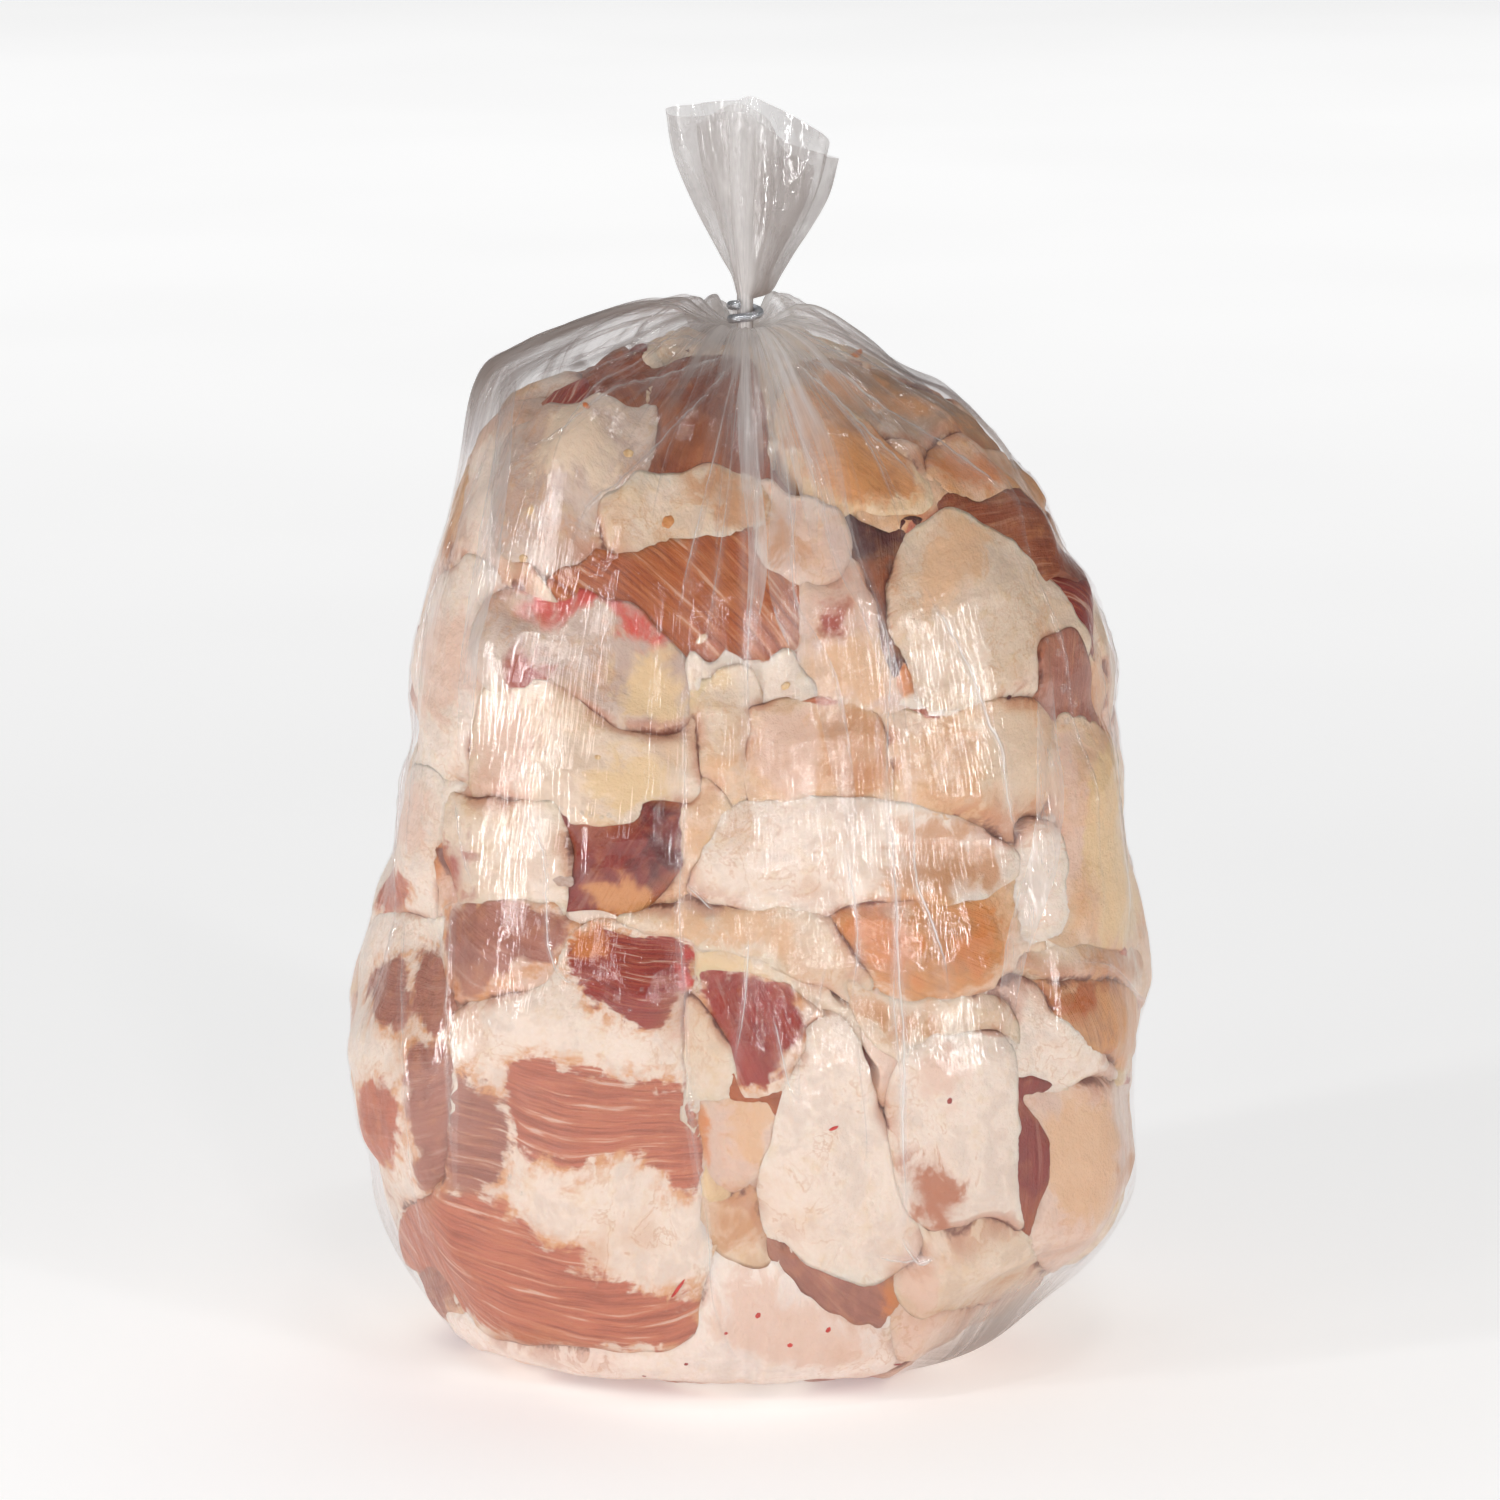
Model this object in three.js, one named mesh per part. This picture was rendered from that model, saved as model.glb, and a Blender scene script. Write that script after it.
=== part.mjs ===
import * as THREE from 'three';
import { mergeVertices } from 'three/addons/utils/BufferGeometryUtils.js';

// A clear film bag packed with pork fat trimmings, drawn together over them and shut by a wire clip.
// Millimetres, +Z up. It stands on its flat base, its front looks along -Y and +X is to its right.

// Driving dimensions
const clipHeight = 262;
const neckRadius = 2;
const neckHalfHeight = 4;
const neckShift = -1.2;
const wireDiameter = 2.3;
const clipTurns = 1.2;
const clipRise = 3.4;
const fitGap = 0.3;

// Outlines of the filled bag, each point the reach from its middle and the height.
// They run from the edge of the flat base spot up over the shoulder to the neck.
const neckFoot = clipHeight - neckHalfHeight;
const bagOutlines = {
  left: [[66, 0], [76, 2], [84, 10], [91.5, 22], [99, 40], [102, 52], [103, 68], [103.5, 84], [98, 104],
    [91.5, 134], [87.5, 160], [83.5, 184], [77.5, 206], [72, 226], [69.5, 240], [66, 249], [58, 256],
    [42, 260], [18, 261], [7, 258.5], [neckRadius, neckFoot]],
  right: [[52, 0], [63, 2], [75, 10], [88, 21], [97, 34], [103, 50], [101, 70], [103.5, 84], [103, 98],
    [99.5, 126], [96.5, 156], [92, 180], [84.5, 202], [76.5, 218], [58, 238], [43, 251], [22, 256],
    [7, 256.5], [neckRadius, neckFoot]],
  front: [[45, 0], [55, 2], [64.5, 10], [70, 24], [74, 46], [75.5, 70], [75.5, 96], [72, 124], [68, 152],
    [63, 178], [56, 202], [48, 222], [37, 239], [23, 250], [10, 256], [5, 256.5], [neckRadius, neckFoot]],
  back: [[43, 0], [54, 2], [64, 10], [70, 24], [74, 46], [75.5, 70], [75.5, 96], [72, 124], [69, 152],
    [66, 178], [62, 202], [57.5, 224], [51, 244], [44, 256], [35, 263], [24, 264.5], [13, 262],
    [6, 258.5], [neckRadius, neckFoot]],
};
const ringSquareness = 2.3;

// Outlines of the tail of gathered film over the clip, each point the reach and the height over the clip.
const tailOutlines = {
  left: [[neckRadius, neckHalfHeight], [3.4, 9], [6, 14], [11.5, 26], [16.5, 39], [18.5, 50]],
  right: [[neckRadius, 3], [6.5, 4.6], [9.5, 9], [12.5, 14], [16, 21], [19.5, 29], [21.5, 39]],
  front: [[neckRadius, neckHalfHeight], [3.6, 9], [6, 18], [9, 34], [11, 52]],
  back: [[neckRadius, neckHalfHeight], [4, 9], [7, 18], [11, 34], [14, 54]],
};
const tailHollowDepth = 12;

// Pleats run out from the clip over the shoulders, and ruffles run up the tail.
const pleatCount = 18;
const pleatDepth = 1.8;
const pleatShareOfReach = 0.07;
const pleatReachDown = 95;
const pleatWander = 1;
const ruffleCount = 9;
const ruffleShareOfReach = 0.2;
const ruffleWander = 2;

// The trimmings press against the film as low pillows with creases between them.
// Each row: degrees round from the front towards +X, height, half width, half height, tilt in degrees.
const frontTrimmings = [
  [-56, 250, 15, 7, 4], [-19, 240, 15, 12, 10], [-46, 226, 24, 20, 20], [-17, 221, 22, 10, 8],
  [36, 233, 24, 13, -28], [17, 211, 12, 13, -35], [-16, 200, 33, 15, 4], [70, 222, 24, 9, -38],
  [48, 192, 26, 20, -12], [-35, 187, 28, 15, 4], [-64, 180, 22, 28, -4], [21, 193, 12, 16, 0],
  [-34, 163, 30, 13, -4], [-6, 167, 9, 15, 0], [13, 165, 17, 12, -2], [40, 160, 25, 15, -8],
  [66, 137, 22, 28, -4], [-49, 140, 24, 13, -3], [-24, 141, 17, 13, 4], [7, 141, 25, 14, -3],
  [32, 121, 26, 18, -4], [-5, 118, 25, 9, -8], [-44, 113, 19, 13, 0], [-22, 109, 17, 12, 4],
  [1, 98, 14, 16, 10], [61, 108, 18, 5, 0], [61, 92, 20, 13, -30], [-33, 96, 32, 12, -4],
  [-27, 76, 26, 10, -8], [-60, 75, 20, 24, 0], [-5, 72, 10, 15, 8], [17, 69, 21, 31, 4],
  [38, 72, 17, 26, -2], [62, 50, 20, 24, 8], [-27, 50, 29, 16, -6], [-38, 31, 38, 13, -4],
  [-7, 17, 42, 12, 0], [46, 34, 22, 11, 8], [-70, 208, 18, 14, 0], [80, 190, 20, 16, 0],
];

// Round the sides and back the trimmings lie in courses, each a little uneven in size and place.
const courseHeights = [26, 68, 108, 146, 182, 214, 240];
const trimmingsInCourse = 6;
const firstBackTurn = 92;
const lastBackTurn = 268;
const backHalfWidth = 24;
const backHalfHeight = 17;
const turnSpread = 10;
const heightSpread = 12;
const sizeSpread = 0.5;
const tiltSpread = 50;

// The crease depth holds on the flanks. It runs out over the flat base and where the shoulder nears the neck.
const creaseDepth = 4;
const pillowSharpness = 4;
const pillowReachIn = 45;
const reliefHeights = [3, 24];
const reliefReaches = [18, 42];

// Fineness of the surface.
const columns = 72;
const bagRows = 46;
const tailRows = 11;
const clipSteps = 30;
const clipSides = 10;

const { degToRad, lerp, seededRandom, smoothstep } = THREE.MathUtils;

function outlineCurves(outlines, lift) {
  const curves = {};
  for (const [side, points] of Object.entries(outlines)) {
    const corners = points.map(([reach, height]) => new THREE.Vector3(reach, 0, height + lift));
    curves[side] = new THREE.CatmullRomCurve3(corners, false, 'centripetal');
  }
  return curves;
}

// A point of a surface between four outlines: the angle round from +X towards +Y and the share of the way up.
function surfacePoint(curves, angle, share) {
  const across = Math.cos(angle);
  const through = Math.sin(angle);
  const side = (across < 0 ? curves.left : curves.right).getPointAt(share);
  const face = (through < 0 ? curves.front : curves.back).getPointAt(share);
  const sideTerm = Math.abs(across / side.x) ** ringSquareness;
  const faceTerm = Math.abs(through / face.x) ** ringSquareness;
  const reach = (sideTerm + faceTerm) ** (-1 / ringSquareness);
  const height = lerp(face.z, side.z, across * across);
  const lean = neckShift * Math.min(1, height / clipHeight);
  return new THREE.Vector3(lean + reach * across, reach * through, height);
}

function surfaceNormal(curves, angle, share) {
  const step = 0.01;
  const below = surfacePoint(curves, angle, Math.max(0, share - step));
  const above = surfacePoint(curves, angle, Math.min(1, share + step));
  const before = surfacePoint(curves, angle - step, share);
  const after = surfacePoint(curves, angle + step, share);
  return after.sub(before).cross(above.sub(below)).normalize();
}

function shareAtHeight(curves, angle, height) {
  const halvings = 20;
  let low = 0;
  let high = 1;
  for (let halving = 0; halving < halvings; halving += 1) {
    const middle = (low + high) / 2;
    if (surfacePoint(curves, angle, middle).z < height) low = middle;
    else high = middle;
  }
  return low;
}

// One trimming: its middle on the surface, and the ways out, across and up there, turned by its tilt.
function placeTrimming(curves, [turn, height, halfWidth, halfHeight, tilt]) {
  const angle = degToRad(turn - 90);
  const share = shareAtHeight(curves, angle, height);
  const middle = surfacePoint(curves, angle, share);
  const outward = surfaceNormal(curves, angle, share);
  const level = new THREE.Vector3(0, 0, 1).cross(outward).normalize();
  const across = level.applyAxisAngle(outward, degToRad(tilt));
  const up = outward.clone().cross(across);
  return { middle, outward, across, up, halfWidth, halfHeight };
}

function backTrimmings() {
  const rows = [];
  const turnStep = (lastBackTurn - firstBackTurn) / (trimmingsInCourse - 1);
  const uneven = (spread) => spread * (seededRandom() - 0.5);
  seededRandom(1);
  courseHeights.forEach((courseHeight, course) => {
    const stagger = course % 2 ? turnStep / 2 : 0;
    for (let place = 0; place < trimmingsInCourse; place += 1) {
      const turn = firstBackTurn + place * turnStep + stagger + uneven(turnSpread);
      const height = courseHeight + uneven(heightSpread);
      const halfWidth = backHalfWidth * (1 + uneven(sizeSpread));
      const halfHeight = backHalfHeight * (1 + uneven(sizeSpread));
      rows.push([turn, height, halfWidth, halfHeight, uneven(tiltSpread)]);
    }
  });
  return rows;
}

// How far a pillow rises at a point, from 0 in the crease round it to 1 on its crown.
function pillowRise(trimming, point) {
  const offset = point.clone().sub(trimming.middle);
  if (Math.abs(offset.dot(trimming.outward)) > pillowReachIn) return 0;
  const across = offset.dot(trimming.across) / trimming.halfWidth;
  const up = offset.dot(trimming.up) / trimming.halfHeight;
  return Math.sqrt(Math.max(0, 1 - across ** pillowSharpness - up ** pillowSharpness));
}

function reachFromNeckLine(point) {
  return Math.hypot(point.x - neckShift, point.y);
}

function creaseFold(trimmings, point) {
  const rises = trimmings.map((trimming) => pillowRise(trimming, point));
  const onFlank = point.z < clipHeight / 2 ? 1 : smoothstep(reachFromNeckLine(point), ...reliefReaches);
  const offBase = smoothstep(point.z, ...reliefHeights);
  return creaseDepth * (Math.max(...rises) - 1) * onFlank * offBase;
}

// Pleats deepen up the shoulder and die out at the neck itself, where the film is drawn tight.
function pleatFold(point, angle) {
  const nearClip = smoothstep(point.z, clipHeight - pleatReachDown, clipHeight);
  const depth = Math.min(pleatDepth, pleatShareOfReach * (reachFromNeckLine(point) - neckRadius));
  const wave = Math.cos(pleatCount * angle + pleatWander * Math.sin(3 * angle));
  return depth * nearClip * (wave - 1);
}

function bagPoint(curves, trimmings, angle, share) {
  const point = surfacePoint(curves, angle, share);
  const fold = creaseFold(trimmings, point) + pleatFold(point, angle);
  return point.addScaledVector(surfaceNormal(curves, angle, share), fold);
}

// The ruffles grow from nothing at the clip to the open edge.
function tailPoint(curves, angle, share) {
  const point = surfacePoint(curves, angle, share);
  const wave = Math.sin(ruffleCount * angle + ruffleWander * Math.sin(2 * angle));
  const stretch = 1 + ruffleShareOfReach * share * wave;
  return new THREE.Vector3(neckShift + (point.x - neckShift) * stretch, point.y * stretch, point.z);
}

function ringsOf(rows, pointAt) {
  const rings = [];
  for (let row = 0; row <= rows; row += 1) {
    const ring = [];
    for (let column = 0; column < columns; column += 1) {
      ring.push(pointAt(column / columns * Math.PI * 2, row / rows));
    }
    rings.push(ring);
  }
  return rings;
}

// A skin over rings of points, closed by one middle point at the foot and one at the top.
function closedGeometry(rings, foot, top) {
  const positions = [...rings.flat(), foot, top].flatMap((point) => point.toArray());
  const footIndex = rings.length * columns;
  const topIndex = footIndex + 1;
  const lastRing = footIndex - columns;
  const faces = [];
  for (let column = 0; column < columns; column += 1) {
    const next = (column + 1) % columns;
    faces.push(footIndex, next, column);
    faces.push(topIndex, lastRing + column, lastRing + next);
    for (let here = 0; here < lastRing; here += columns) {
      const over = here + columns;
      faces.push(here + column, here + next, over + next);
      faces.push(here + column, over + next, over + column);
    }
  }
  const geometry = new THREE.BufferGeometry();
  geometry.setAttribute('position', new THREE.Float32BufferAttribute(positions, 3));
  geometry.setIndex(faces);
  return geometry;
}

function bagGeometry() {
  const bagCurves = outlineCurves(bagOutlines, 0);
  const tailCurves = outlineCurves(tailOutlines, clipHeight);
  const trimmings = [...frontTrimmings, ...backTrimmings()].map((row) => placeTrimming(bagCurves, row));
  const rings = [
    ...ringsOf(bagRows, (angle, share) => bagPoint(bagCurves, trimmings, angle, share)),
    ...ringsOf(tailRows, (angle, share) => tailPoint(tailCurves, angle, share)),
  ];
  const foot = new THREE.Vector3(0, 0, 0);
  const top = new THREE.Vector3(neckShift, 0, tailCurves.front.getPointAt(1).z - tailHollowDepth);
  return closedGeometry(rings, foot, top);
}

// The wire is wound once round the neck, and its ends pass each other one over the other.
class WireCoil extends THREE.Curve {
  getPoint(share, target = new THREE.Vector3()) {
    const radius = neckRadius + fitGap + wireDiameter / 2;
    const angle = Math.PI + share * clipTurns * Math.PI * 2;
    const height = (share - 0.5) * clipTurns * clipRise;
    return target.set(radius * Math.cos(angle), radius * Math.sin(angle), height);
  }
}

function clipGeometry() {
  const section = new THREE.Shape().absarc(0, 0, wireDiameter / 2, 0, Math.PI * 2);
  const settings = {
    steps: clipSteps,
    curveSegments: clipSides,
    extrudePath: new WireCoil(),
    bevelEnabled: false,
  };
  const geometry = new THREE.ExtrudeGeometry(section, settings);
  geometry.deleteAttribute('normal');
  geometry.deleteAttribute('uv');
  return mergeVertices(geometry);
}

const film = new THREE.MeshStandardMaterial({ color: 0xdcc3b2, roughness: 0.35, metalness: 0 });
const wire = new THREE.MeshStandardMaterial({ color: 0xb4b6ba, roughness: 0.35, metalness: 1 });

const bag = new THREE.Mesh(bagGeometry(), film);
bag.name = 'bag';

const clip = new THREE.Mesh(clipGeometry(), wire);
clip.name = 'clip';
clip.position.set(neckShift, 0, clipHeight);

const baggedFat = new THREE.Group();
baggedFat.add(bag, clip);

// The origin is on the floor under the middle of the object's box.
const box = new THREE.Box3().setFromObject(baggedFat);
const middle = box.getCenter(new THREE.Vector3());
baggedFat.position.set(-middle.x, -middle.y, -box.min.z);

export default baggedFat;
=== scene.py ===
"""A clear bag of pork fat trimmings, with the folds of its film, its open tail and its wire clip."""
import math
from functools import cache

import bpy
import numpy as np
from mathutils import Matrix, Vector
from mathutils.bvhtree import BVHTree
from mathutils.geometry import delaunay_2d_cdt


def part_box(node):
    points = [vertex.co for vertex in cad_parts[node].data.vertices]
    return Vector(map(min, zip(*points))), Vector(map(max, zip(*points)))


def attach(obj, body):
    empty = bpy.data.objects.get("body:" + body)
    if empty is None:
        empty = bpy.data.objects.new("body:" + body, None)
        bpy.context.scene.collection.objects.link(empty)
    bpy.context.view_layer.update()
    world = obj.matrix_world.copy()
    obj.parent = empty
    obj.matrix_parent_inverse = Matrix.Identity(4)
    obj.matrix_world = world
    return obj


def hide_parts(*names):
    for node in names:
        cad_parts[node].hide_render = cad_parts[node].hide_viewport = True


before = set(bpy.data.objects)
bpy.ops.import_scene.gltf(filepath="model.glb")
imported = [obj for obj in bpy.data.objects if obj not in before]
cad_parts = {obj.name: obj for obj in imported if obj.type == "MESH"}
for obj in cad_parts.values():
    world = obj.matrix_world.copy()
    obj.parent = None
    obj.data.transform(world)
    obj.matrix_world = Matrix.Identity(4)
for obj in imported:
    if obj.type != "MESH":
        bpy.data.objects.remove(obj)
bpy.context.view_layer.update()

bl_info = {
    "name": "Bag of pork fat trimmings",
    "version": (1, 0, 0),
    "blender": (4, 5, 0),
    "location": "3D View > Sidebar > Bagged fat",
    "description": "Builds a bag of pork fat trimmings, with its film and clip, in a plain studio",
    "category": "Object",
}

MM = 0.001
TAU = 2 * math.pi

# The neck is where the clip is. All reaches are measured from a middle point straight under it.
CLIP_LOW, CLIP_HIGH = (np.array(corner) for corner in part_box("clip"))
NECK = (CLIP_LOW + CLIP_HIGH) / 2
NECK_REACH = 2 * MM
NECK_FOOT = NECK[2] - 5 * MM
MIDDLE = np.array([NECK[0], 0.0, 130 * MM])

# The front view. A spot in it is millimetres right of the aim and up from the lowest point that shows.
VIEW_PITCH = math.radians(12)
VIEW_DISTANCE = 1.4
VIEW_WIDTH = 0.375
AIM = np.array([NECK[0] + 1.2 * MM, 0.0, 151.6 * MM])
AIM_UP_IN_VIEW = 160.75 * MM


def unit(vectors):
    return vectors / np.linalg.norm(vectors, axis=-1, keepdims=True)


def smoothstep(low, high, value):
    share = np.clip((value - low) / (high - low), 0, 1)
    return share * share * (3 - 2 * share)


def srgb(red, green, blue):
    """A linear colour from a screen colour of 0 to 255."""
    parts = [value / 255 for value in (red, green, blue)]
    linear = [part / 12.92 if part <= 0.04045 else ((part + 0.055) / 1.055) ** 2.4 for part in parts]
    return (*linear, 1.0)


# Flat outlines and lines

def even_steps(points, count):
    """The same line with points at even steps."""
    steps = np.linalg.norm(np.diff(points, axis=0), axis=1)
    along = np.concatenate([[0], np.cumsum(steps)])
    wanted = np.linspace(0, along[-1], count)
    return np.column_stack([np.interp(wanted, along, column) for column in points.T])


def curve_through(corners, closed):
    """Close points along a smooth curve through the corners."""
    corners = np.asarray(corners, float)
    if closed:
        starts = corners
        before, ends, after = (np.roll(corners, shift, axis=0) for shift in (1, -1, -2))
    else:
        padded = np.vstack([2 * corners[0] - corners[1], corners, 2 * corners[-1] - corners[-2]])
        before, starts, ends, after = padded[:-3], padded[1:-2], padded[2:-1], padded[3:]
    share = np.linspace(0, 1, 16, endpoint=False)[:, None]
    runs = []
    for p0, p1, p2, p3 in zip(before, starts, ends, after):
        first, second, third = p2 - p0, 2 * p0 - 5 * p1 + 4 * p2 - p3, 3 * p1 - p0 - 3 * p2 + p3
        runs.append(p1 + 0.5 * share * (first + share * (second + share * third)))
    return np.vstack([*runs, ends[-1:]])


def smooth_loop(corners, step):
    """A closed curve through the corners, counter-clockwise, with points about a step apart."""
    fine = curve_through(corners, True)
    length_round = np.linalg.norm(np.diff(fine, axis=0), axis=1).sum()
    loop = even_steps(fine, max(12, round(length_round / step)) + 1)[:-1]
    x, y = loop.T
    area = (x * np.roll(y, -1) - y * np.roll(x, -1)).sum()
    return loop if area > 0 else loop[::-1]


def loop_outward(loop):
    """The direction out of a counter-clockwise loop at each of its points."""
    along = np.roll(loop, -2, axis=0) - np.roll(loop, 2, axis=0)
    return unit(np.column_stack([along[:, 1], -along[:, 0]]))


def off_edges(spots, starts, edges):
    """How far each flat spot is from the nearest of some straight edges."""
    offsets = spots[:, None] - starts[None]
    share = np.clip((offsets * edges).sum(-1) / (edges**2).sum(-1), 0, 1)
    return np.sqrt(((offsets - share[..., None] * edges) ** 2).sum(-1)).min(axis=1)


def inside_by(points, loop):
    """How far each flat point is inside a loop, and below zero outside it."""
    far_off, margin = -1.0, 12 * MM
    result = np.full(len(points), far_off)
    near = ((points > loop.min(axis=0) - margin) & (points < loop.max(axis=0) + margin)).all(axis=1)
    spots = points[near]
    edges = np.roll(loop, -1, axis=0) - loop
    distance = off_edges(spots, loop, edges)
    start_above = loop[:, 1] > spots[:, 1:2]
    end_above = (loop + edges)[:, 1] > spots[:, 1:2]
    rise = np.where(np.abs(edges[:, 1]) < 1e-12, 1e-12, edges[:, 1])
    crossing = loop[:, 0] + (spots[:, 1:2] - loop[:, 1]) * edges[:, 0] / rise
    crossings = ((start_above != end_above) & (spots[:, :1] < crossing)).sum(axis=1)
    result[near] = np.where(crossings % 2 == 1, distance, -distance)
    return result


def fill(spots, edge_count):
    """The triangles between flat spots, inside the loop that the first of them make."""
    loop = list(range(edge_count))
    places, _, faces, *_ = delaunay_2d_cdt([Vector(spot) for spot in spots / MM], [], [loop], 1, 1e-4)
    return len(places), faces


def edge_facing(points, loop):
    """How much the nearest stretch of a loop faces up or down: 0 where it is upright, and up to 1."""
    nearest = ((points[:, None] - loop[None]) ** 2).sum(-1).argmin(axis=1)
    return np.abs(loop_outward(loop)[nearest, 1])


def crosses_itself(loop):
    return fill(loop, len(loop))[0] != len(loop)


def turned(x, y, degrees):
    """Flat spots turned counter-clockwise about the origin."""
    turn = math.radians(degrees)
    return np.column_stack([x * math.cos(turn) - y * math.sin(turn), x * math.sin(turn) + y * math.cos(turn)])


def ripple(points, size, seed):
    """A smooth unevenness of about -1 to 1, with humps of the given size."""
    draw = np.random.default_rng(seed)
    waves = 8
    total = np.zeros(len(points))
    for _ in range(waves):
        direction = unit(draw.normal(size=points.shape[1]))
        wave_length = 2 * size * draw.uniform(0.7, 1.5)
        total += np.sin(points @ direction * TAU / wave_length + draw.uniform(0, TAU))
    return total / math.sqrt(waves)


# The skin of the bag as a table of reaches from the middle point, by direction

TABLE_ROWS = 301
TABLE_COLUMNS = 600
STEEPEST = math.atan2(NECK_REACH, NECK_FOOT - MIDDLE[2])
ROW_STEP = (math.pi - STEEPEST) / (TABLE_ROWS - 1)
COLUMN_STEP = TAU / TABLE_COLUMNS


def way(rise, angle):
    """The direction at an angle down from straight up and an angle round from +X."""
    rise, angle = np.broadcast_arrays(rise, angle)
    return np.stack([np.sin(rise) * np.cos(angle), np.sin(rise) * np.sin(angle), np.cos(rise)], axis=-1)


@cache
def table_ways():
    rise = (STEEPEST + ROW_STEP * np.arange(TABLE_ROWS))[:, None]
    return way(rise, COLUMN_STEP * np.arange(TABLE_COLUMNS))


def flat_mean(reaches):
    """Each reach as it would be on a flat stretched film between its neighbours."""
    sine = np.sin(STEEPEST + ROW_STEP * np.arange(TABLE_ROWS))[:, None]
    level = 0.5 * (np.roll(reaches, 1, axis=1) + np.roll(reaches, -1, axis=1)) * np.cos(COLUMN_STEP * sine)
    mean = level.copy()
    upright = 0.5 * (reaches[:-2] + reaches[2:]) * math.cos(ROW_STEP)
    mean[1:-1] = 0.5 * (level[1:-1] + upright)
    mean[0], mean[-1] = reaches[0], reaches[-2].mean()
    return mean


class Skin:
    """A closed skin round the middle point, kept as its reach in each direction of the table."""

    def __init__(self, reaches):
        self.reaches = reaches

    def reach(self, ways):
        rise = np.arccos(np.clip(ways[..., 2], -1, 1))
        row = np.clip((rise - STEEPEST) / ROW_STEP, 0, TABLE_ROWS - 1)
        column = np.arctan2(ways[..., 1], ways[..., 0]) % TAU / COLUMN_STEP
        row0, column0 = np.minimum(row.astype(int), TABLE_ROWS - 2), column.astype(int)
        down, on = row - row0, column - column0
        column0 = column0 % TABLE_COLUMNS
        column1 = (column0 + 1) % TABLE_COLUMNS
        upper = self.reaches[row0, column0] * (1 - on) + self.reaches[row0, column1] * on
        lower = self.reaches[row0 + 1, column0] * (1 - on) + self.reaches[row0 + 1, column1] * on
        return upper * (1 - down) + lower * down

    def under(self, points):
        """The points of the skin in the same directions as other points."""
        ways = unit(points - MIDDLE)
        return MIDDLE + ways * self.reach(ways)[..., None]

    def at(self, turns, heights):
        """The points at degrees round from the front towards +X, and at heights in millimetres."""
        angle = np.radians(np.asarray(turns, float) - 90)
        low, high = np.full(angle.shape, STEEPEST), np.full(angle.shape, math.pi)
        for _ in range(24):
            rise = (low + high) / 2
            ways = way(rise, angle)
            above = MIDDLE[2] + ways[..., 2] * self.reach(ways) > np.asarray(heights) * MM
            low, high = np.where(above, rise, low), np.where(above, high, rise)
        return MIDDLE + ways * self.reach(ways)[..., None]


@cache
def floor_reaches():
    """How far off the floor is in every direction."""
    down = -table_ways()[..., 2]
    return np.where(down > 0.02, MIDDLE[2] / np.maximum(down, 0.02), 9.0)


def drape(low, start, rounds):
    """Film that starts out at some reaches and draws flat between the places where it lies on others."""
    reaches = start
    for _ in range(rounds):
        reaches = np.minimum(np.maximum(low, flat_mean(reaches)), floor_reaches())
    return reaches


def drop_under_clip(reaches):
    """Film that stays under the wire, and climbs from there to the shoulders."""
    level_reach, gap, slope, steepening = 5.5, 0.8, 0.12, 0.02
    upward = table_ways()[..., 2]
    off = reaches * np.sin(np.arccos(upward)) / MM
    beyond = np.maximum(off - level_reach, 0)
    highest = CLIP_LOW[2] - MIDDLE[2] + (slope * beyond + steepening * beyond**2 - gap) * MM
    near_clip = upward > 0.9
    return np.where(near_clip, np.minimum(reaches, highest / upward), reaches)


def cast(places, faces):
    """The reach of a mesh in every direction of the table, met from outside."""
    tree = BVHTree.FromPolygons(places.tolist(), faces.tolist())
    start = 0.4
    ways = table_ways()
    starts = (MIDDLE + ways * start).reshape(-1, 3).tolist()
    inward = (-ways).reshape(-1, 3).tolist()
    reaches = []
    for place, direction in zip(starts, inward):
        distance = tree.ray_cast(place, direction)[3]
        reaches.append(0.0 if distance is None else start - distance)
    return np.array(reaches).reshape(ways.shape[:2])


def triangles(mesh):
    """A mesh's places and the corners of its triangles."""
    places = np.empty(len(mesh.vertices) * 3)
    mesh.vertices.foreach_get("co", places)
    mesh.calc_loop_triangles()
    corners = np.empty(len(mesh.loop_triangles) * 3, int)
    mesh.loop_triangles.foreach_get("vertices", corners)
    return places.reshape(-1, 3), corners.reshape(-1, 3)


@cache
def bag_skin():
    """The film as a whole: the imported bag's surface with its creases bridged."""
    places, corners = triangles(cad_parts["bag"].data)
    below_clip = (places[corners][:, :, 2] < NECK[2]).all(axis=1)
    reaches = cast(places, corners[below_clip])
    reaches[0] = (NECK_FOOT - MIDDLE[2]) / math.cos(STEEPEST)
    bridging_rounds, smoothing_rounds = 60, 4
    bridged = drape(reaches, reaches, bridging_rounds)
    return Skin(drop_under_clip(drape(np.zeros_like(reaches), bridged, smoothing_rounds)))


# Where the trimmings stand back from the film: degrees round, height, radius and depth in millimetres.
RETREATS = (
    (-86, 252, 34, 12), (-118, 254, 38, 9), (-150, 257, 42, 5), (160, 256, 40, 4), (80, 236, 40, 1),
    (118, 240, 45, 2), (-88, 150, 50, 2), (-88, 30, 40, 3), (62, 12, 34, 8), (100, 26, 40, 6),
    (-140, 24, 40, 6), (150, 30, 45, 5), (180, 150, 60, 2),
)

# Where the film stands out loose: degrees round, height, radius and rise in millimetres.
SWELLS = ((-96, 257, 44, 5), (-150, 259, 46, 5.5), (165, 259, 36, 3), (-62, 250, 30, 2))


def spread_out(spots, skin):
    """How far each direction of the table is pushed by some spots, in millimetres."""
    usual_reach = 115
    push = np.zeros(table_ways().shape[:2])
    for turn, height, radius, most in spots:
        aim = unit(skin.at(turn, height) - MIDDLE)
        apart = np.arccos(np.clip(table_ways() @ aim, -1, 1)) * usual_reach
        push = np.maximum(push, most * smoothstep(radius, 0, apart))
    return push


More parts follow.
